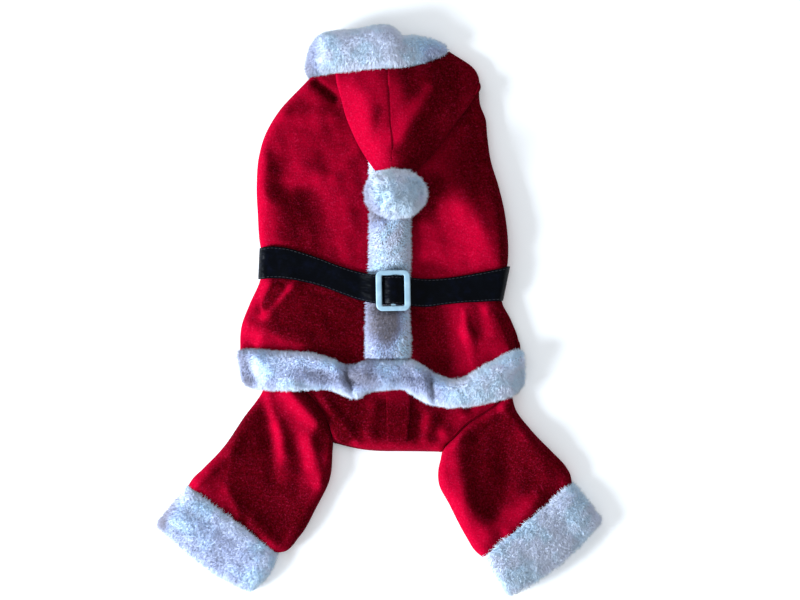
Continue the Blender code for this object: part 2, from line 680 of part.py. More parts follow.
def make_hood_half(name, table, ground):
    """Half of the hood's upper layer, from its rolled outer edge up to the centre seam."""
    left = table is HOOD_LEFT_ROWS
    grid = []
    for row in smooth_rows(table, 16):
        edge, seam = row[0:2], row[2:4]
        bow, foot, top = row[4:7]
        seam = seam - np.array([GAP if left else -GAP, 0])
        width = np.linalg.norm(seam - edge)
        along = (seam - edge) / width
        out = np.array([-along[1], along[0]]) * (1 if left else -1)
        rim = foot + HOOD_RIM
        low = math.sin(math.radians(ROLL_ANGLES[0]))
        line = []
        for angle in ROLL_ANGLES[:-1]:
            turn = math.radians(angle)
            inset = HOOD_ROLL * (1 - math.cos(turn))
            climb = (math.sin(turn) - low) / (1 - low)
            line.append((inset, foot + (rim - foot) * climb, climb**2))
        for share in HOOD_SHARES:
            inset = HOOD_ROLL + (width - HOOD_ROLL) * share
            climb = min(1.0, share / HOOD_SHARES[-2])
            line.append((inset, rim + (top - rim) * (1 - (1 - climb) ** 1.7), 1.0))
        points = []
        for inset, height, weight in line:
            share = inset / width
            x, y = edge + along * inset + out * bow * 4 * share * (1 - share)
            points.append((x, y, height + relief(HOOD_FOLDS, x, y) * weight))
        grid.append(points if left else points[::-1])
    return shell(name, raise_over(np.array(grid), ground, GAP, 2), WALL, "fleece")


def make_belt(ground):
    """The belt, with its rise over the buckle's centre bar. Also gives the height that the buckle's frame lies at."""
    rows = np.array(BELT_ROWS)
    upper, lower, ends = rows[:, 0:2], rows[:, 2:4], rows[:, 4]
    grid = np.zeros((5, len(rows), 3))
    for j, share in enumerate(np.linspace(0, 1, 5)):
        grid[j, :, :2] = upper + (lower - upper) * share
        for i, (x, y) in enumerate(grid[j, :, :2]):
            bed = ground.top_near(x, y, 3.5) + GAP + BELT_WALL * 1.1
            grid[j, i, 2] = ends[i] if ends[i] else bed
    beside = np.abs(rows[:, 0] - BUCKLE_X) < BUCKLE_WIDE * 0.75
    level = grid[:, beside, 2].max()
    grid[:, beside, 2] = level
    frame_z = level + GAP
    rise = GAP + CENTRE_BAR_THICK + GAP + BELT_WALL + 0.4
    for i, x in enumerate(rows[:, 0]):
        away = abs(x - BUCKLE_X) - CENTRE_BAR / 2 - 1.5
        reach = BUCKLE_WIDE / 2 - BUCKLE_BAR - CENTRE_BAR / 2 - 1.8
        grid[:, i, 2] += rise * max(0.0, 1 - max(0.0, away) / reach)
    return shell("belt", grid, BELT_WALL, "patent"), frame_z


def rounded_rectangle(spline_points, wide, tall, corner):
    """Corner arcs of a rectangle, four points each."""
    for quarter in range(4):
        centre_x = (wide / 2 - corner) * (1 if quarter in (0, 3) else -1)
        centre_y = (tall / 2 - corner) * (1 if quarter in (0, 1) else -1)
        for step in range(5):
            turn = math.radians(90 * quarter + 90 * step / 4)
            spline_points.append((centre_x + corner * math.cos(turn), centre_y + corner * math.sin(turn)))


def make_buckle(frame_z):
    """A flat rounded frame, and the low bar across its window that the belt runs over."""
    curve = bpy.data.curves.new("buckle_outline", "CURVE")
    curve.dimensions = "2D"
    curve.fill_mode = "BOTH"
    curve.extrude = (BUCKLE_THICK / 2 - BUCKLE_EDGE) * MM
    curve.bevel_depth = BUCKLE_EDGE * MM
    curve.bevel_resolution = 1
    window_wide = BUCKLE_WIDE - 2 * BUCKLE_BAR
    window_tall = BUCKLE_TALL - 2 * BUCKLE_END
    sizes = ((BUCKLE_WIDE, BUCKLE_TALL, BUCKLE_CORNER, -1), (window_wide, window_tall, BUCKLE_CORNER / 2, 1))
    for wide, tall, corner, inward in sizes:
        points = []
        shift = 2 * inward * BUCKLE_EDGE
        rounded_rectangle(points, wide + shift, tall + shift, corner)
        spline = curve.splines.new("POLY")
        spline.points.add(len(points) - 1)
        for point, (x, y) in zip(spline.points, points):
            point.co = (x * MM, y * MM, 0, 1)
        spline.use_cyclic_u = True
    outline = bpy.data.objects.new("buckle_outline", curve)
    bpy.data.collections["cutters"].objects.link(outline)
    bpy.context.view_layer.update()
    mesh = bpy.data.meshes.new_from_object(outline.evaluated_get(bpy.context.evaluated_depsgraph_get()))
    bpy.data.objects.remove(outline)
    mesh.name = "buckle"
    weld = bmesh.new()
    weld.from_mesh(mesh)
    bmesh.ops.remove_doubles(weld, verts=weld.verts, dist=1e-6)
    weld.to_mesh(mesh)
    weld.free()
    buckle = bpy.data.objects.new("buckle", mesh)
    mesh.materials.clear()
    mesh.materials.append(material("plastic"))
    buckle.location = (BUCKLE_X * MM, BUCKLE_Y * MM, (frame_z + BUCKLE_THICK / 2) * MM)
    buckle.rotation_euler = (0, 0, math.radians(BUCKLE_TURN))
    bpy.data.collections["dog_santa_suit"].objects.link(buckle)
    bpy.ops.mesh.primitive_cube_add(size=1)
    bar = bpy.context.object
    bar.name = "centre_bar"
    bar.scale = (CENTRE_BAR * MM, (window_tall + BUCKLE_END) * MM, CENTRE_BAR_THICK * MM)
    bar.location = (0, 0, (CENTRE_BAR_THICK - BUCKLE_THICK) / 2 * MM + BAR_LIFT * MM)
    bar.parent = buckle
    bar.hide_render = True
    bar.display_type = "WIRE"
    for owner in list(bar.users_collection):
        owner.objects.unlink(bar)
    bpy.data.collections["cutters"].objects.link(bar)
    join = buckle.modifiers.new("centre_bar", "BOOLEAN")
    join.operation = "UNION"
    join.object = bar
    return buckle


def make_pompom(ground):
    """A lumpy ball of fur, pressed flat where it lies."""
    bpy.ops.mesh.primitive_uv_sphere_add(segments=24, ring_count=15, radius=1)
    ball = bpy.context.object
    ball.name = ball.data.name = "pompom"
    for owner in list(ball.users_collection):
        owner.objects.unlink(ball)
    bpy.data.collections["dog_santa_suit"].objects.link(ball)
    bed = max(ground.top_near(POMPOM_X + dx, POMPOM_Y + dy, 4) for dx in (-16, 0, 16) for dy in (-12, 0, 12)) + GAP
    for vertex in ball.data.vertices:
        x, y, z = vertex.co
        round_it = math.atan2(y, x)
        lump = 1 + POMPOM_LUMP * math.sin(7 * round_it + 2 * z) * math.cos(5 * z + round_it) * (1 - z * z)
        sag = 1 - 0.06 * y
        place = Vector((x * POMPOM_WIDE / 2 * lump * sag, y * POMPOM_TALL / 2 * lump, z * POMPOM_HIGH / 2 * lump))
        place.z = max(place.z, -POMPOM_HIGH / 2 + POMPOM_PRESSED)
        vertex.co = (place + Vector((POMPOM_X, POMPOM_Y, bed + POMPOM_HIGH / 2 - POMPOM_PRESSED))) * MM
    ball.data.shade_smooth()
    ball.data.materials.append(material("fur"))
    return ball


def main():
    for old in list(bpy.data.objects):
        bpy.data.objects.remove(old)
    for name in ("dog_santa_suit", "cutters"):
        bpy.context.scene.collection.children.link(bpy.data.collections.new(name))
    belly, throat = make_lower_walls()
    legs = make_legs()
    seat = shell("seat_panel", panel_grid(SEAT_ROWS, 14, 9, SEAT_FOLDS), WALL, "fleece")
    make_cuff("cuff_left", CUFF_LEFT_ROWS, CUFF_LEFT_FOLDS)
    make_cuff("cuff_right", CUFF_RIGHT_ROWS, CUFF_RIGHT_FOLDS)
    lap = make_strip("seat_lap", SEAT_LAP_ROWS, 10, FLAT_SHARES[::2], Ground(seat), 4, "fleece")
    below = Ground(seat, lap, *legs)
    back = panel_grid(BACK_ROWS, 24, 17, BACK_FOLDS)
    back = shell("back_panel", raise_over(back, below, WALL * 1.3 + GAP, 5), WALL, "fleece")
    placket = make_strip("placket", PLACKET_ROWS, 30, (0, 0.1, 0.35, 0.65, 0.9, 1), Ground(back), 4)
    make_strip("hem_trim", HEM_ROWS, 34, FUR_SHARES, Ground(back, seat, lap, *legs), 7)
    belt, frame_z = make_belt(Ground(back, placket))
    make_buckle(frame_z)
    under = make_strip("hood_under", HOOD_UNDER_ROWS, 9, FLAT_SHARES, Ground(back, placket), 11, "fleece")
    brim_under = make_strip("brim_under", BRIM_UNDER_ROWS, 16, FUR_SHARES, None, 0)
    make_strip("brim_upper", BRIM_ROWS, 26, FUR_SHARES, Ground(brim_under, throat), 3)
    hood_bed = Ground(back, placket, under, throat)
    make_hood_half("hood_left", HOOD_LEFT_ROWS, hood_bed)
    make_hood_half("hood_right", HOOD_RIGHT_ROWS, hood_bed)
    make_pompom(Ground(back, placket))


main()
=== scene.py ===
"""A small dog's Santa suit, dressed for its picture: fleece with its folds, plush trims, belt and buckle.

The tables are in millimetres. +Y points to the head, +Z is the back of the suit, and -X is the wearer's left.
"""

import json
import math
from collections import namedtuple

import bmesh
import bpy
import numpy as np
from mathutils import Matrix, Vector, noise
from mathutils.bvhtree import BVHTree

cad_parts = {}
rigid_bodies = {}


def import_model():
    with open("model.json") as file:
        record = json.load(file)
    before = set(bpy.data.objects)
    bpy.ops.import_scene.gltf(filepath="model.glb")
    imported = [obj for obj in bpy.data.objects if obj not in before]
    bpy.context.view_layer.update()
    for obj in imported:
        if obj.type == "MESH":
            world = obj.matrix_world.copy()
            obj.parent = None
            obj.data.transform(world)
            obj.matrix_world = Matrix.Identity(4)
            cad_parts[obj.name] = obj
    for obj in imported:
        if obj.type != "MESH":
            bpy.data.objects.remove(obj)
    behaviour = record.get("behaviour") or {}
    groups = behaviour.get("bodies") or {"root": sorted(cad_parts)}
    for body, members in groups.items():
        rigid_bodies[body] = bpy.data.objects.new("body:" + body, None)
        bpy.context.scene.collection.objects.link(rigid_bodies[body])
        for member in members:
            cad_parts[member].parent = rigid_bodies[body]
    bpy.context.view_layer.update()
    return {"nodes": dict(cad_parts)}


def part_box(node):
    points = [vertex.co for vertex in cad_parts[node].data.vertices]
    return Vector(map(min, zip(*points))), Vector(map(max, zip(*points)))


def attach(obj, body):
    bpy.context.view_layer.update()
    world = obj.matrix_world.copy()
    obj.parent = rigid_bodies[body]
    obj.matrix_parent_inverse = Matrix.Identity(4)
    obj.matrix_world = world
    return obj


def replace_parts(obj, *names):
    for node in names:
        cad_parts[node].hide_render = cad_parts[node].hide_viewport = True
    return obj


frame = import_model()

MM = 0.001
WALL = 2.0  # fleece with its nap
GAP = 0.3  # between pieces that meet
ROLL = 8.0  # how far in a rolled side edge reaches
ROLL_LOW = -45.0  # degrees that a rolled edge has turned by at its foot
ROLLED = 9  # columns in a rolled edge
BED = WALL + GAP  # where the foot of a rolled edge meets the lower wall
LAP = 2 * WALL + 1.5 * GAP  # an upper wall that lies flat on the lower one
STEP = 1.7  # between points of the fleece
SEAT_STEP = 2.2
STRIP_STEP = 2.0
CUFF_STEP = 1.8
THROAT_ROWS = 14
THROAT_COLUMNS = 64
TOUCHING = 1e-6  # metres within which points are one

HIP_CORNER_ROW = 2  # the row of the seat where the hip seams start
SEAM_REACH = 26.0  # how far the first rows of a leg follow the seam
SEAM_ROUND = 5.0
SEAM_STEP = 2
SEAM_ROWS = 6  # from the first row of a leg to the one that shows which way it runs

# The placket and the buckle on it
PLACKET_LEFT = -9.0
PLACKET_RIGHT = 27.0
BUCKLE_X = 11.8
BUCKLE_Y = 17.2
BUCKLE_WIDE = 29.6
BUCKLE_TALL = 35.0
BUCKLE_BAR = 5.2
BUCKLE_THICK = 3.0
CENTRE_BAR = 4.0
CENTRE_BAR_THICK = 1.8
BUCKLE_CORNER = 4.5
BUCKLE_ROUND = 1.1
BUCKLE_END = 4.4
BUCKLE_TURN = 1.0  # degrees
BAR_LIFT = 0.05

# The hood's rolled outer edge
HOOD_ROLL = 6.0
HOOD_TILT = 48.0  # degrees that the roll has turned by where the face goes on
HOOD_RIM = 7.0
HOOD_CROWN = 1.7  # how quickly the hood rises from its roll


def table_of(kind, rows):
    return [kind(*row) for row in rows]


# A row across a panel: its two ends, how its middle bows towards the head, how it leans, and its heights
Row = namedtuple("Row", "left_x left_y right_x right_y bow lean foot rim middle")

BACK_ROWS = table_of(Row, [
    (-59, 201, 85.5, 194, 2, 5, 9, 12.5, 12.5), (-68, 192, 86.5, 179, 2, 2, 5, 13.5, 13.5),
    (-85, 174, 91.5, 165, 1, 0, BED, 14, 14.5), (-97, 155, 93, 150, 0, 0, BED, 14.5, 15),
    (-104, 133, 96, 129, 0, 0, BED, 15, 15.5), (-106, 108, 103, 106, 0, 0, BED, 15, 15.5),
    (-105, 82, 109, 78, -5, 0, BED, 15, 15), (-103.6, 60, 111, 47, -13, 0, BED, 14, 14.5),
    (-100.6, 41, 108, 24, -14, 0, BED, 13.5, 14.5), (-103.4, 25, 105.6, 8, -12, 0, 1.5, 13, 15.5),
    (-112, 6, 113.4, -8, -11, 2, 0.4, 9, 17.5), (-119.4, -14, 119.3, -24, -11, 6, 0.4, 7, 18),
    (-120.5, -39, 120.5, -43, -17, 12, 0.4, 7, 17.5),
])

SEAT_ROWS = table_of(Row, [
    (-99, 22, 103, 6, -12, 0, BED, 11, 12), (-98, -10, 106, -20, -6, 0, BED, 11, 12),
    (-98, -50, 113, -60, 0, 0, LAP, 11, 12), (-90, -54, 109, -71, 0, 0, 7, 11, 12),
    (-79, -57, 102, -80, 0, 0, 9.5, 11, 12), (-66, -67, 91, -88, 0, 0, 9.5, 11, 12),
    (-53, -81, 77, -97, 0, 0, 9.5, 11, 12.5), (-44, -97, 64, -110, 0, 0, 8.5, 11.5, 12.5),
    (-41, -108, 57, -116, -2, -1, 6, 11.5, 12.5), (-40.5, -112, 55, -120, -3, -1, LAP, 9, 9.5),
    (-40, -114, 54, -122, -3.5, -1, LAP, LAP, LAP + 0.5),
])

LEG_LEFT_ROWS = table_of(Row, [
    (-99, -53, -40, -114, 12, 0, BED, 9.5, 9.5), (-100, -58, -40, -118, 10.5, 0, BED, 11.5, 11.5),
    (-102, -70, -40.5, -128, 9, 0, BED, 13, 12.5), (-117, -92, -43, -146, 5, 0, BED, 13.5, 12),
    (-134, -117, -54, -169, 2, 0, BED, 14, 11.5), (-153, -137, -69, -195, 0, 0, BED, 14, 11.5),
    (-162, -146, -82, -208, 0, 0, BED, 13, 11.5), (-165, -151, -89, -209, 0, 0, BED, 12, 11.5),
])

LEG_RIGHT_ROWS = table_of(Row, [
    (54, -122, 114, -64, 0, 0, BED, 9.5, 9.5), (53, -126, 115, -69, 0, 0, BED, 11.5, 11.5),
    (50.5, -137, 118, -86, 0, 0, BED, 13.5, 12.5), (51, -149, 129, -101, 0, 0, BED, 14, 12),
    (60, -167, 148, -121, 0, 0, BED, 14, 11.5), (74, -194, 161, -135, 0, 0, BED, 14, 11.5),
    (83, -208, 165, -143, 0, 0, BED, 13, 11.5), (89, -213, 166, -149, 0, 0, BED, 12, 11.5),
])

# A row across one half of the hood, from its outer edge to the centre seam
HoodRow = namedtuple("HoodRow", "edge_x edge_y seam_x seam_y bow foot top")

HOOD_LEFT_ROWS = table_of(HoodRow, [
    (-38, 205.5, 7.5, 208.5, 0, 10, 22), (-37, 196, 7.5, 197, 0, 13.5, 27), (-33, 182, 8, 182, 0, 15, 32),
    (-29, 167, 9, 167, 0, 15, 35), (-23, 152, 10, 152, 0, 15, 35.5), (-16, 138, 11, 138, 0, 15.5, 34),
    (-9, 127, 11.5, 127, 0, 16.5, 31), (-4, 120, 12, 121, 0, 17.5, 28),
])

HOOD_RIGHT_ROWS = table_of(HoodRow, [
    (60, 223.5, 7.5, 208.5, -5, 3, 22), (82, 208, 7.5, 197, -2, 3, 27), (86, 194, 8, 182, 0, 5, 32),
    (77, 176, 9, 167, 0, 15, 35), (65, 160, 10, 152, 0, 15, 35.5), (53, 143, 11, 138, 0, 15.5, 34),
    (41, 128, 11.5, 127, 0, 16.5, 31), (33, 121, 12, 121, 0, 17.5, 28),
])

# The throat's two long edges: along the neck seam, and beneath the brim
NECK_SEAM = [(-55.5, 198.4), (-10, 197.8), (10, 194.6), (30, 190.2), (50, 186.6), (65, 185.2), (83.5, 184.0)]
THROAT_FRONT = [(-45.5, 208), (15, 207.6), (75.5, 206.4)]

# A row across a fur strip, from its front or upper edge to its other edge, with its height and its bed
StripRow = namedtuple("StripRow", "near_x near_y far_x far_y thick bed", defaults=[0])

BRIM_ROWS = table_of(StripRow, [
    (-63.5, 207, -61, 200, 7, 0), (-61.5, 217, -57, 201.5, 9.5, 7), (-58, 228, -49, 203.4, 12, 11),
    (-50, 237.5, -40, 205, 13.5, 13.3), (-36, 240.5, -32, 204.6, 14, 13.3),
    (-19, 241.5, -17, 205, 14, 13.3), (0, 245.3, -1, 205.8, 14.5, 13.3), (11, 243.5, 12, 206, 14, 13.3),
    (19, 236, 23, 206.8, 11.5, 13), (28, 236.5, 34, 209, 9.5, 12), (40, 234.5, 43, 213.5, 8.5, 10.5),
    (51, 231, 51.5, 218.3, 7.5, 8.8), (59, 225.5, 58.5, 222.5, 6, 7.4),
])

BRIM_UNDER_ROWS = table_of(StripRow, [
    (-61, 208, -56, 202, 6.5, 0), (-57, 224, -50, 207, 7, 0), (-47, 234, -42, 210.2, 7, 0),
    (-33, 237, -31, 210.2, 7, 0), (-2, 241, -2, 209.5, 7, 0), (19, 233, 21, 209, 7, 0),
    (40, 231, 42, 208.5, 7, 0), (57, 222, 58, 208, 6.5, 0),
])

HEM_ROWS = table_of(StripRow, [
    (-123, -35, -119.5, -60, 6.5), (-116, -34, -113.5, -65, 8.5), (-98, -34.5, -98, -67.5, 10),
    (-76, -36, -76, -68, 10), (-56, -37.5, -55, -67.5, 10), (-41, -42, -43, -67, 9.5),
    (-31, -47, -32, -71.5, 8.5), (-22, -47, -21, -75.5, 7.5), (-11, -43.5, -10, -70, 9.5),
    (8, -43, 9, -67, 10), (27, -43, 22, -67.7, 9.5), (38, -48.5, 33, -74.5, 8.5),
    (48, -54.5, 45, -80.5, 7.5), (59, -59.5, 60, -82.5, 9.5), (72, -58, 77, -81.8, 10),
    (87, -49.5, 93, -78.6, 10), (103, -41, 108, -75, 9.5), (116, -34.5, 119.5, -70, 8),
    (124, -34, 126, -61, 6.5),
])

# The placket, from its left edge to its right edge: pressed flat beneath the hood and the belt
PLACKET_ROWS = table_of(StripRow, [
    (PLACKET_LEFT, 184, PLACKET_RIGHT, 181, 2.6), (PLACKET_LEFT, 150, PLACKET_RIGHT, 150, 2.6),
    (PLACKET_LEFT, 129, PLACKET_RIGHT, 129, 3), (PLACKET_LEFT, 117, PLACKET_RIGHT, 117, 5.5),
    (PLACKET_LEFT, 72, PLACKET_RIGHT, 72, 7), (PLACKET_LEFT - 0.5, 42, PLACKET_RIGHT, 41, 6.5),
    (PLACKET_LEFT - 1, 34, PLACKET_RIGHT, 32, 2.6), (PLACKET_LEFT - 3, 3, PLACKET_RIGHT - 1, 1, 2.6),
    (PLACKET_LEFT - 3, -5, PLACKET_RIGHT - 1, -6, 6), (PLACKET_LEFT - 3, -22, PLACKET_RIGHT, -22, 7),
    (PLACKET_LEFT - 3, -41.5, PLACKET_RIGHT, -41.5, 6.5),
])

# The belt, from its upper edge to its lower edge. At its ends it follows the sides down, at the heights given
BeltRow = namedtuple("BeltRow", "upper_x upper_y lower_x lower_y height", defaults=[0])

BELT_ROWS = table_of(BeltRow, [
    (-103.2, 52.8, -104.4, 27, 4.5), (-103.8, 53.2, -105.0, 27, 8.5), (-102.8, 53.8, -103.9, 27, 12.5),
    (-99.6, 54.3, -100.4, 27, 15.8), (-95, 55.2, -95, 27.5, 17), (-89, 55, -86, 27.5), (-80, 54, -76, 26.5),
    (-66, 50, -63, 24), (-50, 44.5, -48, 20), (-33, 38, -32, 14), (-17, 33.3, -17, 8.8), (-6, 31, -6, 6.4),
    (2.4, 30.2, 2.4, 5.6), (5, 29.8, 5, 5.6), (8.2, 29.6, 8.2, 5.4), (11.8, 30.2, 11.8, 5.8),
    (15.4, 29.6, 15.4, 5.2), (18.6, 29.6, 18.6, 5), (21.2, 29.6, 21.2, 5), (29, 28.2, 29, 3.6),
    (40, 27.3, 40, 3.0), (57, 28.0, 56, 5.0), (74, 30.4, 72, 6.6), (90, 33.4, 88, 7.3),
    (102, 35.8, 97, 7.8, 16.5), (108.4, 37.2, 102.6, 8.0, 16), (111.6, 37.8, 105.8, 8.2, 12.2),
    (113.0, 38, 106.8, 8.4, 8), (112.4, 38, 106.2, 8.4, 4.5),
])

CUFF_LEFT_ROWS = table_of(Row, [
    (-165.5, -152.2, -89.5, -209.6, 0, 0, 1.4, 13, 13.5), (-171.5, -159, -90, -214, 0, 0, 1.4, 14, 14.5),
    (-178, -167, -92.5, -222, -1, 0, 1.4, 14.5, 15), (-186, -176, -99, -231, -3, 0, 1.4, 14, 14.5),
    (-190.5, -182, -108, -239.5, -5.5, 0, 1.4, 13, 13.5),
    (-189.5, -186, -112.5, -242.8, -6.5, 0, 1.8, 11.5, 12),
])

CUFF_RIGHT_ROWS = table_of(Row, [
    (89.3, -213.5, 166.3, -149.3, 0, 0, 1.4, 13, 13.5), (92.5, -219, 171.5, -154.5, 0, 0, 1.4, 14, 14.5),
    (97.5, -227.5, 179, -163.5, -1, 0, 1.4, 14.5, 15), (103.5, -236.5, 185.5, -172.5, -3, 0, 1.4, 14, 14.5),
    (108.5, -243, 189.8, -179, -5.5, 0, 1.4, 13, 13.5), (113, -245.3, 188, -183.5, -7, 0, 1.8, 11.5, 12),
])

# A fold of the cloth: from where to where it runs, how wide it is, and how high or, below 0, how deep
Fold = namedtuple("Fold", "from_x from_y to_x to_y width height")

BACK_FOLDS = table_of(Fold, [
    (-98, 128, -96, 94, 7, 1.6), (-80, 128, -85, 100, 11, -1.2), (-90, 171, -42, 166, 8, 1.8),
    (-88, 92, -88, 50, 11, 3.0), (-78, 100, -61, 103, 10, -1.1), (-61, 102, -48, 88, 10, -1.0),
    (-50, 88, -46, 60, 14, -1.3), (-62, 122, -52, 116, 9, 1.6), (-38, 115, -18, 138, 6, 1.5),
    (-28, 88, -26, 56, 10, 0.8), (-54, 196, -38, 183, 3.6, -3.0), (-60, 190, -50, 177, 7, 1.6),
    (72, 104, 94, 54, 17, 5.4), (38, 88, 44, 50, 10, 0.8), (30, 80, 31, 46, 5, -0.5),
    (88, 160, 84, 120, 10, -2.5), (-91, 28, -98, 12, 5, 2.4), (-80, 28, -97, 0, 5, -2.2),
    (-70, 25, -93, -2, 6, 3.2), (-112, -13, -64, -25, 8, 3.2), (-42, 0, -24, -26, 17, -3.0),
    (60, 9, 63, -46, 13, -3.6), (72, 18, 76, -20, 6, 3.0), (76, -20, 82, -50, 10, 2.4),
    (81, 8, 82, -14, 4.5, -2.2), (92, 9, 94, -16, 6, 3.0), (36, -4, 44, -40, 12, -1.2),
])

SEAT_FOLDS = table_of(Fold, [
    (-48, -76, -28, -100, 6, 3.5), (-35, -84, -22, -108, 6, -2.0), (-28, -100, -20, -112, 5, 2.5),
    (-4, -84, -8, -104, 6, 2.5), (34, -92, 34, -110, 6, -2.0), (44, -94, 40, -108, 7, 2.5),
    (72, -90, 56, -104, 5, 3.0), (78, -84, 62, -98, 4, -1.5),
])

LEG_LEFT_FOLDS = table_of(Fold, [
    (-102, -78, -95, -112, 8, -2.4), (-95, -112, -91, -146, 7, -2.6), (-78, -70, -52, -97, 7, 4.2),
    (-86, -98, -81, -124, 5, 1.8), (-74, -108, -69, -134, 7, -1.3), (-60, -110, -50, -148, 6, 2.8),
    (-118, -100, -126, -120, 8, 2.0), (-99, -68, -88, -100, 4, 1.2), (-81, -72, -55, -99, 5, 1.6),
    (-105, -160, -85, -172, 14, -2.2), (-148, -137, -156, -146, 7, 2.0), (-130, -155, -120, -174, 5, 1.5),
    (-108, -181, -92, -198, 6, 3.0),
])

LEG_RIGHT_FOLDS = table_of(Fold, [
    (66, -116, 73, -163, 10.5, 4.2), (73, -163, 93, -192, 10.5, 3.8), (97, -80, 60, -112, 5, 4.0),
    (104, -92, 84, -108, 5, -2.4), (108, -112, 110, -140, 10, -2.6), (110, -140, 100, -170, 9, -2.6),
    (128, -112, 144, -142, 9, 3.2), (112, -190, 138, -163, 6, 3.0), (100, -72, 106, -84, 5, 2.0),
])

HOOD_FOLDS = table_of(Fold, [
    (-10, 184, -5, 152, 8, 1.6), (0, 172, -6, 150, 6, -0.7), (40, 190, 20, 152, 10, 1.3),
    (29, 190, 14, 158, 7, -0.5), (-22, 196, -12, 160, 8, 1.2), (62, 196, 46, 160, 8, -1.8),
])

CUFF_LEFT_FOLDS = table_of(Fold, [
    (-150, -185, -128, -208, 14, -1.2),
])

CUFF_RIGHT_FOLDS = table_of(Fold, [
    (148, -178, 170, -198, 8, -1.5), (110, -222, 120, -232, 12, 0.8),
])

SEAM_BITE = 0.3  # how far pieces reach into each other at a seam
SEAM_DIP = 0.15  # how deep the cloth is drawn in along the hood's seam
SEAM_WIDE = 1.6
BELT_HALF = 12.5
BELT_PRESS = 4.5  # how far beside the belt the folds stay flat
BELT_THICK = 1.6
BELT_SIDES = (-101, 107)  # beyond these the belt's ends go down the sides
BELT_SPOTS = 190
BELT_ACROSS = 19
SIDE_FREE = 2.0  # where the back's sides leave the side seams and start to lie over the legs
SIDE_FADE = 20.0
HOOD_LEVEL = 0.94  # share of a hood half's width where its top is reached

# The pile: how it swirls, how it leans at the edges, and how long it is on the cuffs and the pompom
SWIRL = 0.24
SWIRL_UP = 0.4  # share of the swirl that is left upwards and downwards
SWIRL_PACE = 150.0
SWIRL_SEED = 7
TUFT_PACE = 330.0
TUFTS = (0.9, 1.18)  # how long the strands are where tufts are low and high
STRAND_LENGTHS = (0.65, 1.1)
STRAND_THICK = 0.072  # share of a strand's length, like its tip
STRAND_TIP = (0.3, 0.0, 0.93)
STRAY = (0.48, 0.48, 0.25)  # how far single strands stray from the lay
TONE_SPREAD = 0.11  # how much brighter or darker than the lay single strands are
PRESSED_AT = 0.15  # pile that would pass through what the suit lies on is pressed flat there
EDGE_LEAN = 1.1
EDGE_DROP = 0.15
STRIP_THIN = 0.8  # how thick a fur strip's backing is at its edges
BACKING_LOW = 1.2  # the least height of a backing beneath its pile
CUFF_TUCK = 1.6
CUFF_PILE = 2.2
CUFF_SOLE = 0.25
CUFF_SOLE_IN = 7.0
CUFF_WALL = 1.3
CUFF_COLUMNS = 40
CUFF_ROLLED = 7
SOLE_COLUMNS = 24
POMPOM_PILE = 5.8
POMPOM_PACE = 190.0
POMPOM_SWIRL = 0.75

# The pile of each piece: how many strands, how long and how upright they are, and the seed
Pile = namedtuple("Pile", "strands length lift seed")

PILES = {
    "placket": Pile(21000, 3.6, 0.22, 41),
    "hem_trim": Pile(44000, 4.3, 0.22, 43),
    "brim_under": Pile(8800, 6.0, 0.5, 47),
    "brim_upper": Pile(28600, 4.3, 0.22, 53),
    "cuff_left": Pile(27500, 4.8, 0.3, 61),
    "cuff_right": Pile(27500, 4.8, 0.3, 67),
    "pompom": Pile(20900, POMPOM_PILE, 0.5, 97),
}

# Each fur strip: how far its backing is tucked in, how thick its pile is, how it leans, and how uneven it is
Trim = namedtuple("Trim", "rows tuck thick lean lumps")

TRIMS = {
    "placket": Trim(PLACKET_ROWS, 1.6, 1.5, (0.1, -0.5), 0.12),
    "hem_trim": Trim(HEM_ROWS, 2.0, 2.0, (-0.1, -0.5), 0.22),
    "brim_under": Trim(BRIM_UNDER_ROWS, 3.0, 2.6, (0, 0), 0.22),
    "brim_upper": Trim(BRIM_ROWS, 2.2, 2.0, (0.1, -0.6), 0.2),
}

STITCH_PITCH = 3.4
STITCH_LONG = 2.6
STITCH_THICK = 0.55
STITCH_IN = 0.075  # share of the belt's width from its edge to the stitches
STITCH_LIFT = 0.12
STITCH_FREE = 3  # steps at each end of the belt without stitches

# The picture: 0.86 mm a pixel at the cloth's level, seen from straight above
PICTURE_WIDE = 688.0
CAMERA_X = 17.63
CAMERA_Y = 9.03
CAMERA_HIGH = 2600.0
CAMERA_LEVEL = 14.0
SENSOR = 36.0
FLOOR_SIZE = 8

LIGHTS = [
    ("key", (-2.1, -0.85, 0.85), 0.9, 150.0),
    ("window", (-1.1, 1.5, 1.9), 1.5, 7.0),
]
LIGHT_COLOUR = (0.80, 0.90, 1.0)
ROOM_LIGHT = 0.72
ROOM_COLOUR = (0.90, 0.95, 1.0, 1)

# Painted light and shade in the fleece's colour, stored under nap: paler where it faces the light and on
# ridges, darker in hollows
PAINTED_LIGHT_SIDE = (-0.94, -0.34)
PAINTED_FACING_SHARE = 1.1
PAINTED_RIDGE_SHARE = 0.16
PAINTED_RIDGE_REACH = 7  # steps around that a height is compared with

# The slot of each cloth, by its material
SLOTS = {"fleece": "fleece", "fur": "fur", "fur_backing": "fur"}

# Each sheet: its flat width, length and area in metres, and what it lies on. The tubes are measured all round
Sheet = namedtuple("Sheet", "piece width length area rests_on")

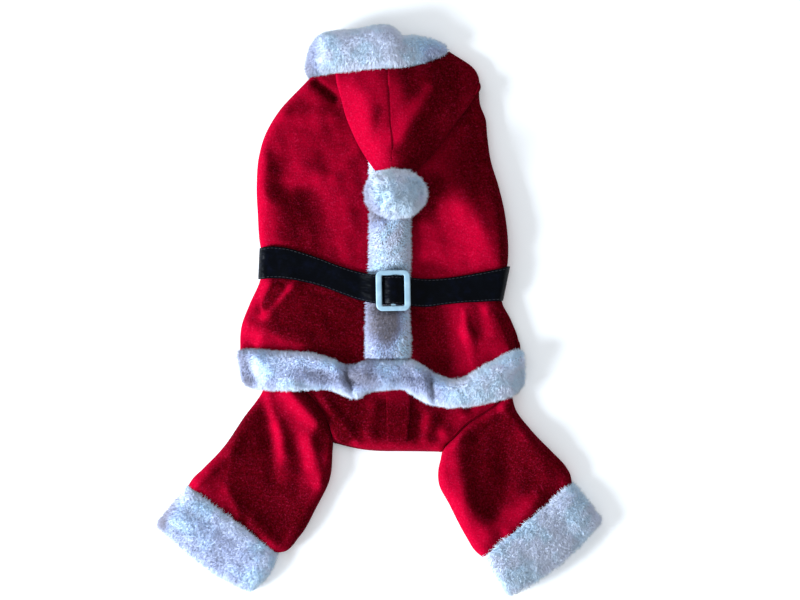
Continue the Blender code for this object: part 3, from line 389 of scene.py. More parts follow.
SHEETS = [
    Sheet("belly_panel_cloth", 0.235, 0.27, 0.054, ("floor",)),
    Sheet("throat_panel_cloth", 0.13, 0.025, 0.0022, ("floor",)),
    Sheet("back_panel_cloth", 0.26, 0.26, 0.057, ("belly_panel", "seat_panel")),
    Sheet("seat_panel_cloth", 0.2, 0.145, 0.024, ("belly_panel",)),
    Sheet("seat_lap_cloth", 0.022, 0.052, 0.00107, ("seat_panel",)),
    Sheet("leg_left_front_cloth", 0.105, 0.15, 0.0106, ("floor",)),
    Sheet("leg_left_back_cloth", 0.115, 0.16, 0.0139, ("leg_left_front",)),
    Sheet("leg_right_front_cloth", 0.1, 0.14, 0.0088, ("floor",)),
    Sheet("leg_right_back_cloth", 0.105, 0.145, 0.0116, ("leg_right_front",)),
    Sheet("hood_under_cloth", 0.1, 0.065, 0.0041, ("back_panel", "placket")),
    Sheet("hood_left_cloth", 0.055, 0.1, 0.0038, ("hood_under", "throat_panel")),
    Sheet("hood_right_cloth", 0.095, 0.115, 0.0065, ("hood_under", "throat_panel")),
    Sheet("brim_upper_backing", 0.036, 0.15, 0.0041, ("brim_under", "hood_left", "hood_right")),
    Sheet("brim_under_backing", 0.03, 0.13, 0.0026, ("floor",)),
    Sheet("placket_backing", 0.036, 0.228, 0.008, ("back_panel",)),
    Sheet("hem_trim_backing", 0.036, 0.262, 0.0079, ("back_panel", "seat_panel")),
    Sheet("cuff_left_backing", 0.2, 0.045, 0.0088, ("floor",)),
    Sheet("cuff_right_backing", 0.2, 0.048, 0.0092, ("floor",)),
    Sheet("belt_strap", 0.026, 0.256, 0.0064, ("back_panel", "placket")),
]

# Smaller creases, which only the cloth's surface has
FINE_FOLDS = table_of(Fold, [
    (-70, 150, -50, 156, 7, 0.9), (-98, 100, -84, 96, 7, 0.6), (-93, 54, -60, 62, 6, 0.5),
    (90, 110, 99, 84, 6, 0.5), (-105, -3, -88, -8, 4, 0.8), (-52, 6, -44, -24, 7, 0.7),
    (60, -6, 62, -38, 4, 0.6), (104, 0, 108, -20, 4, 0.9),
])

# Painted light and shade on the fleece, painted shadows among them: each a soft streak whose height is its
# tone, from -1 to 1, darker below 0
PAINTED_SHADE_STREAKS = table_of(Fold, [
    (-68, -4, -27, -18, 28, -2.3), (-66, 19, -20, 7, 6, -0.7), (38, 4, 50, -43, 13, -1.5),
    (108, 9, 116, -25, 9, -0.9), (80, 176, 84, 118, 26, -0.8), (48, 106, 34, 84, 11, -1.2),
    (-66, 90, -66, 48, 19, -0.6), (-92, 120, -92, 104, 8, -0.35), (-53, 196, -38, 183, 3.6, -0.8),
    (107, 100, 108, 43, 6, -0.8), (-81, 174, -55, 172, 6, -0.15), (68, 80, 92, 48, 15, 0.35),
    (58, 82, 64, 50, 12, 0.35), (34, 47, 62, 46, 7, 0.35), (36, 76, 44, 54, 9, 0.2),
    (-97, 29, -106, 7, 4, 0.6), (-81, 30, -97, 5, 5, -1.2), (-71, 27, -101, -6, 3.6, 1.2),
    (-116, -21, -70, -32, 6, 0.7), (69, 6, 76, -46, 10, 0.45), (91, -32, 104, -36, 9, 0.3),
    (89, 5, 95, -19, 4.5, 0.8), (81, 2, 86, -22, 4, -0.5), (-77, 162, -43, 164, 7, 0.2),
    (-81, 110, -55, 110, 5, 0.3), (-116, -103, -101, -180, 24, -1.3), (-51, -77, -47, -111, 9, -1.0),
    (-77, -163, -68, -180, 14, -1.0), (-98, -73, -88, -100, 4, 0.35), (-88, -73, -62, -94, 9, 0.45),
    (-90, -100, -86, -130, 3.5, 0.4), (-52, -137, -60, -160, 6, -0.2), (-74, -113, -71, -137, 7, -0.3),
    (-68, -110, -59, -148, 3.5, 0.35), (54, -124, 84, -199, 10, 0.5), (91, -110, 97, -162, 17, -1.2),
    (122, -128, 140, -160, 16, -1.25), (113, -99, 128, -134, 10, -0.7), (78, -138, 108, -92, 9, -0.8),
    (138, -108, 154, -130, 10, -0.8), (56, -110, 86, -79, 4, 0.4), (93, -190, 134, -157, 7, 0.6),
    (-34, -77, -30, -111, 8, -1.0), (-21, -94, 39, -98, 18, -1.3), (43, -90, 52, -81, 6, 0.3),
    (38, -97, 52, -108, 8, 0.55),
])
# Painted light and shade on the hood, in the same way
HOOD_PAINTED_SHADE = table_of(Fold, [
    (-24, 200, -4, 136, 15, 0.3), (-10, 206, -8, 184, 13, 0.35), (0, 172, -6, 150, 5, -0.5),
    (56, 203, 30, 138, 18, -0.9), (56, 196, 62, 170, 9, -0.3), (22, 203, 30, 190, 8, -0.8),
    (42, 190, 14, 148, 7, 1.1), (17, 205, 15, 165, 6, 0.35),
])

# Painted light and shade on the fur in the same way, whose painted level is its tone elsewhere
FUR_PAINTED_LEVEL = 1.0
FUR_PAINTED_TOP = 1.4
FUR_PAINTED_SHADE = table_of(Fold, [
    (7, 2, 7, -12, 13, -0.95), (7, -26, 7, -36, 8, -0.35), (-28, -56, 46, -66, 14, -0.36),
    (30, 232, 38, 218, 8, -0.3), (44, 224, 60, 223, 9, -0.4), (30, 212, 52, 216, 4, -0.2),
    (-30, -42, -22, -76, 3, -0.12), (42, -50, 49, -86, 3, -0.12), (30, 108, 38, 92, 8, -0.25),
    (-150, -190, -120, -215, 14, -0.15), (125, -225, 176, -198, 18, 0.35),
    (-176, -160, -189, -183, 6, -0.7), (-122, -33, -119, -62, 12, -0.5), (-110, -42, -54, -54, 12, -0.35),
    (-56, 232, -60, 203, 12, -0.85), (-12, 102, 4, 79, 9, -0.4), (-60, -36, -104, -35, 3.5, -0.22),
    (8, 2, 8, -40, 10, -0.1), (-42, 224, 20, 229, 20, 0.42), (70, -68, 118, -58, 13, 0.2),
    (9, 78, 9, 50, 14, 0.1), (2, 105, 20, 92, 14, 0.3), (-170, -170, -110, -214, 18, -0.35),
    (-8, 116, -8, 40, 8, -0.6), (-9, 5, -9, -42, 8, -0.5), (-64, -52, -44, -57, 12, -0.26),
    (-42, -58, -26, -62, 10, -0.12), (-20, -56, -8, -58, 9, -0.4), (18, -54, 36, -58, 10, -0.25),
    (54, -72, 76, -72, 10, -0.28), (-184, -188, -118, -238, 9, -0.42), (-110, -61, -90, -62, 8, -0.4),
    (4, 83, 22, 83, 7, -0.35),
])

# Where the hem's band is folded over itself
HEM_CREASES = table_of(Fold, [
    (-31, -40, -22, -76, 2.2, -3.2), (-38, -44, -30, -74, 5, 1.6), (42, -50, 49, -86, 2.2, -3.2),
    (35, -50, 42, -80, 5, 1.4), (72, -62, 88, -76, 9, 1.2),
])


def run_along(points):
    """How far along a line of points each of them lies."""
    return np.concatenate([[0], np.cumsum(np.linalg.norm(np.diff(points, axis=0), axis=1))])


def middles_of(rows):
    """The middle of each row, in plan."""
    return (rows[:, 0:2] + rows[:, 2:4]) / 2


def width_of(rows):
    """How wide each row is, as a column."""
    return np.hypot(rows[:, 2:3] - rows[:, 0:1], rows[:, 3:4] - rows[:, 1:2])


def smooth_rows(table, step):
    """The table as an array with rows a step apart, on smooth curves through each column."""
    table = np.array(table, float)
    run = run_along(middles_of(table))
    spots = np.linspace(0, run[-1], max(2, int(round(run[-1] / step)) + 1))
    return curve_through(table, run, spots)


def curve_through(table, run, spots):
    """The table's values at these spots of its run, on a smooth curve through its rows."""
    slope = np.gradient(table, run, axis=0)
    cell = np.clip(np.searchsorted(run, spots, side="right") - 1, 0, len(run) - 2)
    length = (run[cell + 1] - run[cell])[:, None]
    t = (spots - run[cell])[:, None] / length
    return (
        (2 * t**3 - 3 * t**2 + 1) * table[cell]
        + (t**3 - 2 * t**2 + t) * length * slope[cell]
        + (3 * t**2 - 2 * t**3) * table[cell + 1]
        + (t**3 - t**2) * length * slope[cell + 1]
    )


def relief(folds, x, y):
    """Height that the folds add: ridges up, troughs down, round at their ends."""
    total = np.zeros_like(x)
    for fold in folds:
        along_x = fold.to_x - fold.from_x
        along_y = fold.to_y - fold.from_y
        length = math.hypot(along_x, along_y)
        share = ((x - fold.from_x) * along_x + (y - fold.from_y) * along_y) / length**2
        aside = ((x - fold.from_x) * along_y - (y - fold.from_y) * along_x) / length
        beyond = np.maximum(0, np.maximum(-share, share - 1)) * length
        total += fold.height * np.exp(-(aside**2 + beyond**2) / fold.width**2)
    return total


def beside_belt(x, y):
    """0 where the belt presses the cloth flat, and 1 well beside it."""
    middle = np.interp(x, *middles_of(np.array(BELT_ROWS)).T)
    beyond = np.maximum(0, np.abs(y - middle) - BELT_HALF)
    return 1 - np.exp(-((beyond / BELT_PRESS) ** 2))


def waves(x, y, size, seed, count=9):
    """Gentle unevenness, about -1 to 1, whose lumps are about this size."""
    chance = np.random.default_rng(seed)
    turns = chance.uniform(0, math.tau, count)
    phases = chance.uniform(0, math.tau, count)
    paces = chance.uniform(0.7, 1.5, count)
    total = np.zeros_like(x)
    for turn, phase, pace in zip(turns, phases, paces):
        along = x * math.cos(turn) + y * math.sin(turn)
        total += np.sin(along * math.pi * pace / size + phase)
    return total / math.sqrt(count)


def climb_of(turn):
    """How far up a rolled edge a turn of it is: 0 at its foot, 1 at its top."""
    low = math.sin(math.radians(ROLL_LOW))
    return (np.sin(turn) - low) / (1 - low)


def columns_across(inner, rolled=ROLLED):
    """Share of the width, inset and climb of each column: both rolled sides, and the inner ones."""
    turns = np.radians(np.linspace(ROLL_LOW, 90, rolled))
    inset = ROLL * (1 - np.cos(turns))
    climb = climb_of(turns)
    inner_share = np.arange(1, inner) / inner
    share = np.concatenate([np.zeros(rolled), inner_share, np.ones(rolled)])
    insets = np.concatenate([inset, ROLL * (1 - 2 * inner_share), -inset[::-1]])
    climbs = np.concatenate([climb, np.ones(inner - 1), climb[::-1]])
    return share, insets, climbs


def place_on_rows(rows, share):
    """Points of the rows at shares of their width, in plan."""
    left_x, left_y, right_x, right_y, bow, lean = (rows[:, k : k + 1] for k in range(6))
    width = width_of(rows)
    across_x, across_y = (right_x - left_x) / width, (right_y - left_y) / width
    offset = bow * 4 * share * (1 - share) + lean * np.sin(2 * math.pi * share)
    x = left_x + across_x * width * share - across_y * offset
    y = left_y + across_y * width * share + across_x * offset
    return x, y


def height_of(rows, share, climb):
    """Height of the rows' points: up the rolled sides, and crowned between them."""
    foot, rim, middle = (rows[:, k : k + 1] for k in (6, 7, 8))
    crowned = middle + (rim - middle) * np.abs(2 * share - 1) ** 3
    return np.where(climb > 0.999, crowned, foot + (rim - foot) * climb)


def panel_grid(table, step, folds, lumps, seed):
    """Points of an upper wall's outer side, rolled down at both sides."""
    rows = smooth_rows(table, step)
    width = width_of(rows)
    share, inset, climb = columns_across(int(width.mean() / step))
    x, y = place_on_rows(rows, share + inset / width)
    uneven = lumps * (waves(x, y, 21, seed) + 0.5 * waves(x, y, 9, seed + 1))
    free = beside_belt(x, y) if table is BACK_ROWS else 1
    height = height_of(rows, share, climb) + (relief(folds, x, y) + uneven) * free * climb**2
    return np.stack([x, y, height], axis=2)


def top_of(tree, x, y, missed):
    """How high a piece reaches at a place, or what is given for a miss."""
    hit = tree.ray_cast(Vector((x * MM, y * MM, 1)), Vector((0, 0, -1)))[0]
    return hit.z / MM if hit else missed


class Ground:
    """How high the pieces beneath reach, on a grid of cells."""

    CELL = 2.0
    LOW_X, LOW_Y, HIGH_X, HIGH_Y = -202.0, -258.0, 202.0, 258.0

    def __init__(self, *pieces, widen=1, soften=0):
        self.xs = np.arange(self.LOW_X, self.HIGH_X + 1, self.CELL)
        self.ys = np.arange(self.LOW_Y, self.HIGH_Y + 1, self.CELL)
        self.heights = np.zeros((len(self.xs), len(self.ys)))
        for piece in pieces:
            self.add(piece)
        for _ in range(widen):
            self.heights = self.around(np.maximum.reduce)
        for _ in range(soften):
            self.heights = self.around(lambda near: sum(near) / len(near))

    def add(self, piece):
        graph = bpy.context.evaluated_depsgraph_get()
        tree = BVHTree.FromObject(piece, graph)
        corners = np.array(piece.evaluated_get(graph).bound_box) / MM
        low, high = corners.min(axis=0), corners.max(axis=0)
        for i in np.flatnonzero((self.xs > low[0]) & (self.xs < high[0])):
            for j in np.flatnonzero((self.ys > low[1]) & (self.ys < high[1])):
                self.heights[i, j] = max(self.heights[i, j], top_of(tree, self.xs[i], self.ys[j], 0.0))

    def around(self, merge):
        wide = np.pad(self.heights, 1, mode="edge")
        rows, columns = self.heights.shape
        return merge([wide[i : i + rows, j : j + columns] for i in range(3) for j in range(3)])

    def top(self, x, y):
        u = np.clip((x - self.LOW_X) / self.CELL, 0, len(self.xs) - 1.001)
        v = np.clip((y - self.LOW_Y) / self.CELL, 0, len(self.ys) - 1.001)
        i, j = u.astype(int), v.astype(int)
        s, t = u - i, v - j
        near = self.heights[i, j] * (1 - t) + self.heights[i, j + 1] * t
        far = self.heights[i + 1, j] * (1 - t) + self.heights[i + 1, j + 1] * t
        return near * (1 - s) + far * s


def lay_over(grid, ground, clearance):
    """The grid, lifted where it would come closer than the clearance to what lies beneath."""
    lifted = grid.copy()
    lifted[..., 2] = np.maximum(grid[..., 2], ground.top(grid[..., 0], grid[..., 1]) + clearance)
    return lifted


def hold_sides(grid, lifted):
    """The lifted grid with its rolled sides as they were down to the belt, where the side seams hold them."""
    free = np.ones_like(grid[..., 2])
    sides = np.r_[:ROLLED, grid.shape[1] - ROLLED : grid.shape[1]]
    free[:, sides] = np.clip((SIDE_FREE - grid[:, sides, 1]) / SIDE_FADE, 0, 1)
    held = lifted.copy()
    held[..., 2] = grid[..., 2] + (lifted[..., 2] - grid[..., 2]) * free
    return held


def link(name, data):
    """A new object of the scene with this data."""
    made = bpy.data.objects.new(name, data)
    bpy.context.scene.collection.objects.link(made)
    return made


def make_piece(name, mesh, finish):
    """A smooth piece of the scene, all of it in one material."""
    mesh.name = name
    mesh.materials.clear()
    mesh.materials.append(finish)
    mesh.shade_smooth()
    return link(name, mesh)


def add_piece(name, points, faces, finish):
    mesh = bpy.data.meshes.new(name)
    mesh.from_pydata((np.asarray(points).reshape(-1, 3) * MM).tolist(), [], faces)
    mesh.update()
    return make_piece(name, mesh, finish)


def mesh_of(work, name):
    """The worked shape as a mesh."""
    mesh = bpy.data.meshes.new(name)
    work.to_mesh(mesh)
    work.free()
    return mesh


def result_of(thing):
    """The mesh that an object's curves and modifiers make."""
    return bpy.data.meshes.new_from_object(thing.evaluated_get(bpy.context.evaluated_depsgraph_get()))


def points_of(mesh):
    """The mesh's points as an array, in millimetres."""
    return np.array([v.co for v in mesh.vertices]) / MM


def store(mesh, name, domain, values):
    """Stores a number or a vector for each of the mesh's points or faces."""
    values = np.asarray(values, np.float32)
    kind, field = ("FLOAT", "value") if values.ndim == 1 else ("FLOAT_VECTOR", "vector")
    mesh.attributes.new(name, kind, domain).data.foreach_set(field, values.ravel())


def grid_faces(rows, columns, closed=False, start=0):
    """Quads between neighbouring points of a grid, joined round where it is closed."""
    j, i = np.meshgrid(np.arange(rows - 1), np.arange(columns if closed else columns - 1), indexing="ij")
    k = (i + 1) % columns
    here, below = j * columns, (j + 1) * columns
    quads = np.stack([here + i, below + i, below + k, here + k], axis=-1)
    return (quads.reshape(-1, 4) + start).tolist()


def settle(piece):
    """The piece with its modifiers applied, as a plain mesh."""
    mesh = result_of(piece)
    piece.modifiers.clear()
    piece.data = mesh
    mesh.name = piece.name
    mesh.shade_smooth()
    return piece


def painted_light_of(grid, painted_streaks):
    """Painted light and shade at each point of a grid, from -1 to 1: paler facing the light and on ridges,
    darker in hollows, with the painted streaks.
    """
    normal = np.cross(np.gradient(grid, axis=0), np.gradient(grid, axis=1))
    normal /= np.linalg.norm(normal, axis=2, keepdims=True) + 1e-9
    normal *= np.where(normal[..., 2:] < 0, -1, 1)
    facing = normal[..., 0] * PAINTED_LIGHT_SIDE[0] + normal[..., 1] * PAINTED_LIGHT_SIDE[1]
    around = grid[..., 2]
    for _ in range(PAINTED_RIDGE_REACH):
        wide = np.pad(around, 1, mode="edge")
        around = (wide[2:, 1:-1] + wide[:-2, 1:-1] + wide[1:-1, 2:] + wide[1:-1, :-2]) / 4
    painted_streak_light = relief(painted_streaks, grid[..., 0], grid[..., 1])
    return np.clip(facing * PAINTED_FACING_SHARE + (grid[..., 2] - around) * PAINTED_RIDGE_SHARE + painted_streak_light, -1, 1)


def shell(name, grid, wall, finish, closed=False, painted_streaks=PAINTED_SHADE_STREAKS):
    """A wall whose outer side is the grid. The rows run towards the tail and the columns to the right."""
    piece = add_piece(name, grid, grid_faces(*grid.shape[:2], closed), finish)
    # Painted light and shade, stored under nap
    store(piece.data, "nap", "POINT", painted_light_of(grid, painted_streaks).ravel())
    solidify = piece.modifiers.new("wall", "SOLIDIFY")
    solidify.thickness = wall * MM
    solidify.offset = -1
    return settle(piece)


def facing_down(grid):
    """Whether faces of the grid, wound as grid_faces does, would look down."""
    down_rows = (grid[-1] - grid[0]).mean(axis=0)
    along_row = (grid[:, -1] - grid[:, 0]).mean(axis=0)
    return down_rows[0] * along_row[1] - down_rows[1] * along_row[0] < 0


def pad(name, upper, lower, finish):
    """A solid between two grids of the same size, and how many faces its top and sides have."""
    rows, columns = upper.shape[:2]
    count = rows * columns
    top = grid_faces(rows, columns)
    bottom = [face[::-1] for face in grid_faces(rows, columns, start=count)]
    edge = [j * columns for j in range(rows)]
    edge += [(rows - 1) * columns + i for i in range(1, columns)]
    edge += [j * columns + columns - 1 for j in range(rows - 2, -1, -1)]
    edge += list(range(columns - 2, 0, -1))
    sides = [(here, here + count, there + count, there) for here, there in zip(edge, edge[1:] + edge[:1])]
    points = np.concatenate([upper.reshape(-1, 3), lower.reshape(-1, 3)])
    return add_piece(name, points, top + sides + bottom, finish), len(top) + len(sides)


def make_throat(finish):
    """The hood's underside, flat on the floor from the neck seam to the brim."""
    share = np.linspace(0, 1, THROAT_COLUMNS)
    edges = []
    for line in (NECK_SEAM, THROAT_FRONT):
        x, y = np.array(line).T
        spots = x[0] + share * (x[-1] - x[0])
        edges.append(np.column_stack([spots, np.interp(spots, x, y), np.full(THROAT_COLUMNS, WALL)]))
    climb = np.linspace(0, 1, THROAT_ROWS)[:, None, None]
    grid = edges[0] * (1 - climb) + edges[1] * climb
    return shell("throat_panel_cloth", grid, WALL, finish)


def refine(node, finish):
    """The frame's own piece with round edges, for the hidden and the plain ones."""
    work = bmesh.new()
    work.from_mesh(frame["nodes"][node].data)
    bmesh.ops.remove_doubles(work, verts=work.verts, dist=TOUCHING)
    name = f"{node}_cloth"
    piece = make_piece(name, mesh_of(work, name), finish)
    soft = piece.modifiers.new("soft", "SUBSURF")
    soft.levels = soft.render_levels = 2
    settle(piece)
    places = points_of(piece.data)
    # Painted shade from the streaks, stored under nap
    store(piece.data, "nap", "POINT", np.clip(relief(PAINTED_SHADE_STREAKS, places[:, 0], places[:, 1]), -1, 1))
    return piece


def hip_seam(side):
    """Points of the seam between seat and leg, from left to right, with the height of the cloth there."""
    rows = smooth_rows(SEAT_ROWS, SEAM_STEP)
    left = side == "left"
    points = rows[:, [0, 1, 6]] if left else rows[:, [2, 3, 6]]
    corner = SEAT_ROWS[HIP_CORNER_ROW]
    start = int(np.argmin(np.abs(points[:, 1] - (corner.left_y if left else corner.right_y))))
    seam = points[start:]
    return seam if left else seam[::-1]


def start_on_seam(grid, side, step):
    """The leg's grid with its first rows drawn up to the hip seam, less the gap, as high as the seat."""
    seam = hip_seam(side)
    run = run_along(seam[:, :2])
    first = grid[0, :, :2]
    spots = run_along(first)
    spots *= run[-1] / spots[-1]
    target = np.column_stack([np.interp(spots, run, seam[:, k]) for k in range(3)])
    away = grid[SEAM_ROWS, :, :2] - first
    target[:, :2] -= away / np.linalg.norm(away, axis=1)[:, None] * SEAM_BITE
    reach = int(SEAM_REACH / step)
    pull = 0.5 + 0.5 * np.cos(np.linspace(0, math.pi, reach + 1)[:-1])
    drawn = grid.copy()
    drawn[:reach, :, :2] += (target[:, :2] - first)[None] * pull[:, None, None]
    lower = np.minimum(0, target[:, 2] - grid[0, :, 2])
    near = np.exp(-((np.arange(reach) * step / SEAM_ROUND) ** 2))
    drawn[:reach, :, 2] += lower[None] * near[:, None]
    return drawn


def make_legs(finish):
    """The upper wall of each leg, from the hip seam to the cuff."""
    legs = []
    for side, table, folds, seed in (
        ("left", LEG_LEFT_ROWS, LEG_LEFT_FOLDS, 31),
        ("right", LEG_RIGHT_ROWS, LEG_RIGHT_FOLDS, 37),
    ):
        grid = start_on_seam(panel_grid(table, STEP, folds, 0.35, seed), side, STEP)
        legs.append(shell(f"leg_{side}_back_cloth", grid, WALL, finish))
        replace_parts(legs[-1], f"leg_{side}_back")
    return legs


def make_hood_half(name, table, ground, finish, seed):
    """Half of the hood's upper layer, from its rolled outer edge up to the centre seam."""
    left = table is HOOD_LEFT_ROWS
    rows = smooth_rows(table, STEP)
    edge, seam = rows[:, 0:2], rows[:, 2:4] + np.array([SEAM_BITE if left else -SEAM_BITE, 0])
    bow, foot, top = (rows[:, k : k + 1] for k in (4, 5, 6))
    width = np.linalg.norm(seam - edge, axis=1)[:, None]
    along = (seam - edge) / width
    out = np.stack([-along[:, 1], along[:, 0]], axis=1) * (1 if left else -1)
    turns = np.radians(np.linspace(ROLL_LOW, HOOD_TILT, ROLLED))[None, :-1]
    tilt = math.radians(HOOD_TILT)
    roll_climb = climb_of(turns)
    face_start = HOOD_ROLL * (1 - math.cos(tilt))
    face_foot = foot + HOOD_RIM * climb_of(tilt)
    shares = np.linspace(0, 1, int(width.mean() / STEP) + 2)[None, :]
    face_climb = 1 - (1 - np.minimum(1, shares / HOOD_LEVEL)) ** HOOD_CROWN
    roll_inset = HOOD_ROLL * (1 - np.cos(turns)) + 0 * width
    inset = np.concatenate([roll_inset, face_start + (width - face_start) * shares], axis=1)
    face_height = face_foot + (top - face_foot) * face_climb
    height = np.concatenate([foot + HOOD_RIM * roll_climb, face_height], axis=1)
    weight = np.concatenate([roll_climb**2, np.ones_like(shares)], axis=1)
    share = inset / width
    bulge = bow * 4 * share * (1 - share)
    x = edge[:, :1] + along[:, :1] * inset + out[:, :1] * bulge
    y = edge[:, 1:] + along[:, 1:] * inset + out[:, 1:] * bulge
    height = height + (relief(HOOD_FOLDS, x, y) + 0.35 * waves(x, y, 15, seed)) * weight
    height = height - SEAM_DIP * np.exp(-(((width - inset) / SEAM_WIDE) ** 2))
    grid = np.stack([x, y, height], axis=2)
    grid = grid if left else grid[:, ::-1]
    return shell(name, lay_over(grid, ground, GAP), WALL, finish, painted_streaks=HOOD_PAINTED_SHADE)


def strip_grids(trim, ground, creases, seed):
    """Upper and lower grids of a fur strip's backing, with the direction across each row and the share of the
    width at each column. Edges and top are tucked in, to leave room for the pile."""
    rows = smooth_rows(trim.rows, STRIP_STEP)
    run = run_along(middles_of(rows))[-1]
    keep = int(round(trim.tuck / (run / (len(rows) - 1))))
    rows = rows[keep : len(rows) - keep]
    near, far = rows[:, None, 0:2], rows[:, None, 2:4]
    width = np.linalg.norm(far - near, axis=2, keepdims=True)
    across = (far - near) / width
    count = max(8, int(width.mean() / STRIP_STEP))
    share = (0.5 - 0.5 * np.cos(np.linspace(0, math.pi, count)))[None, :, None] * 0.6
    share = share + np.linspace(0, 1, count)[None, :, None] * 0.4
    place = near + across * (trim.tuck + (width - 2 * trim.tuck) * share)
    x, y = place[..., 0], place[..., 1]
    bed = rows[:, 5:6] + 0 * x
    if ground:
        bed = np.maximum(bed, ground.top(x, y) + GAP)
    swell = np.sqrt(1 - np.abs(2 * share[..., 0] - 1) ** 4)
    uneven = trim.lumps * (waves(x, y, 8, seed) + 0.6 * waves(x, y, 4, seed + 1))
    thick = np.maximum(BACKING_LOW, rows[:, 4:5] - trim.thick)
    top = bed + STRIP_THIN + (thick - STRIP_THIN + uneven + relief(creases, x, y)) * swell
    upper = np.stack([x, y, np.maximum(top, bed + STRIP_THIN)], axis=2)
    lower = np.stack([x, y, bed], axis=2)
    return upper, lower, across, share[..., 0]


def add_node(tree, kind, settings=(), **inputs):
    """A node with its settings, and a value or a link for each input, by its name or as i with its number."""
    made = tree.nodes.new(kind)
    for key, value in dict(settings).items():
        setattr(made, key, value)
    for key, value in inputs.items():
        numbered = key[0] == "i" and key[1:].isdigit()
        fill(made.inputs[int(key[1:]) if numbered else key.replace("_", " ")], value)
    return made


def fill(socket, value):
    """Links the value to the socket or, where it is a plain one, sets it."""
    value = value.socket if isinstance(value, Value) else value
    if isinstance(value, bpy.types.NodeSocket):
        socket.id_data.links.new(value, socket)
    else:
        socket.default_value = value


def new_group(name, inputs):
    """Empty geometry nodes with these inputs, what comes in through them, and where the result goes."""
    tree = bpy.data.node_groups.new(name, "GeometryNodeTree")
    for label, kind in {"Geometry": "Geometry", **inputs}.items():
        tree.interface.new_socket(label, in_out="INPUT", socket_type=f"NodeSocket{kind}")
    tree.interface.new_socket("Geometry", in_out="OUTPUT", socket_type="NodeSocketGeometry")
    return tree, tree.nodes.new("NodeGroupInput").outputs, tree.nodes.new("NodeGroupOutput").inputs[0]


def grow(name, data, tree, inputs):
    """A piece that geometry nodes grow on a mesh or a curve."""
    carrier = link(name, data)
    growth = carrier.modifiers.new(name, "NODES")
    growth.node_group = tree
    for item in tree.interface.items_tree:
        if item.in_out == "INPUT" and item.name in inputs:
            growth[item.identifier] = inputs[item.name]
    mesh = result_of(carrier)
    bpy.data.objects.remove(carrier)
    mesh.name = name
    mesh.shade_smooth()
    return link(name, mesh)


def strand_shape():
    """One strand, a unit long: three-sided, tapered and leaning, with its place along it."""
    found = bpy.data.objects.get("plush_strand")
    if found:
        return found
    turns = [math.tau * k / 3 for k in range(3)]
    points = [(STRAND_THICK * math.cos(turn), STRAND_THICK * math.sin(turn), 0.0) for turn in turns]
    faces = [(k, (k + 1) % 3, 3) for k in range(3)]
    mesh = bpy.data.meshes.new("plush_strand")
    mesh.from_pydata([*points, STRAND_TIP], [], faces)
    store(mesh, "along", "POINT", [0.0, 0.0, 0.0, 1.0])
    mesh.shade_smooth()
    return bpy.data.objects.new("plush_strand", mesh)


def pile_tree():
    """Geometry nodes that set strands on a backing, leaning along its lay."""
    found = bpy.data.node_groups.get("plush_pile")
    if found:
        return found
    tree, given, result = new_group("plush_pile", {
        "Strands per m2": "Float", "Length": "Float", "Lift": "Float", "Seed": "Int", "Finish": "Material",
        "Strand": "Object",
    })

    def node(kind, settings=(), **inputs):
        return add_node(tree, kind, settings, **inputs).outputs[0]

    def maths(operation, first, second):
        return node("ShaderNodeMath", {"operation": operation}, i0=first, i1=second)

    def vector(operation, **inputs):
        return node("ShaderNodeVectorMath", {"operation": operation}, **inputs)

    def attribute(name, kind="FLOAT"):
        return node("GeometryNodeInputNamedAttribute", {"data_type": kind}, Name=name)

    def chance(kind, low, high, offset):
        seed = maths("ADD", given["Seed"], offset)
        made = add_node(tree, "FunctionNodeRandomValue", {"data_type": kind}, Min=low, Max=high, Seed=seed)
        return made.outputs["Value"]

    def stored(geometry, kind, domain, name, value):
        settings = {"data_type": kind, "domain": domain}
        return node("GeometryNodeStoreNamedAttribute", settings, Geometry=geometry, Name=name, Value=value)

    spread = add_node(
        tree, "GeometryNodeDistributePointsOnFaces", {"distribute_method": "RANDOM"}, Mesh=given["Geometry"],
        Density=maths("MULTIPLY", given["Strands per m2"], attribute("thickness")), Seed=given["Seed"],
    ).outputs
    upright = vector("SCALE", i0=spread["Normal"], Scale=given["Lift"])
    heading = vector("ADD", i0=upright, i1=attribute("lay", "FLOAT_VECTOR"))
    heading = vector("ADD", i0=heading, i1=chance("FLOAT_VECTOR", [-s for s in STRAY], STRAY, 1))
    aligned = node("FunctionNodeAlignRotationToVector", {"axis": "Z"}, Vector=heading)
    spin = node("FunctionNodeAxisAngleToRotation", Axis=(0, 0, 1), Angle=chance("FLOAT", 0.0, math.tau, 2))
    turned = node("FunctionNodeRotateRotation", {"rotation_space": "LOCAL"}, i0=aligned, i1=spin)
    tuft = node("ShaderNodeTexNoise", Scale=TUFT_PACE, Detail=1.0)
    low, high = TUFTS
    longer = node("ShaderNodeMapRange", Value=tuft, From_Min=0.35, From_Max=0.65, To_Min=low, To_Max=high)
    grown = maths("MULTIPLY", given["Length"], longer)
    strand = add_node(
        tree, "GeometryNodeObjectInfo", {"transform_space": "ORIGINAL"}, Object=given["Strand"]
    ).outputs["Geometry"]
    placed = node(
        "GeometryNodeInstanceOnPoints", Points=spread["Points"], Instance=strand, Rotation=turned,
        Scale=maths("MULTIPLY", grown, chance("FLOAT", *STRAND_LENGTHS, 3)),
    )
    # Each strand's tone is the painted shade stored on the backing, with a random share of its own
    own_tone = chance("FLOAT", -TONE_SPREAD, TONE_SPREAD, 4)
    tone = node("ShaderNodeMath", {"operation": "ADD", "use_clamp": True}, i0=attribute("shade"), i1=own_tone)
    real = node("GeometryNodeRealizeInstances", Geometry=stored(placed, "FLOAT", "INSTANCE", "tone", tone))
    pair = node("ShaderNodeCombineXYZ", X=attribute("tone"), Y=attribute("along"))
    mapped = stored(real, "FLOAT2", "CORNER", "UVMap", pair)
    fill(result, node("GeometryNodeSetMaterial", Geometry=mapped, Material=given["Finish"]))
    return tree


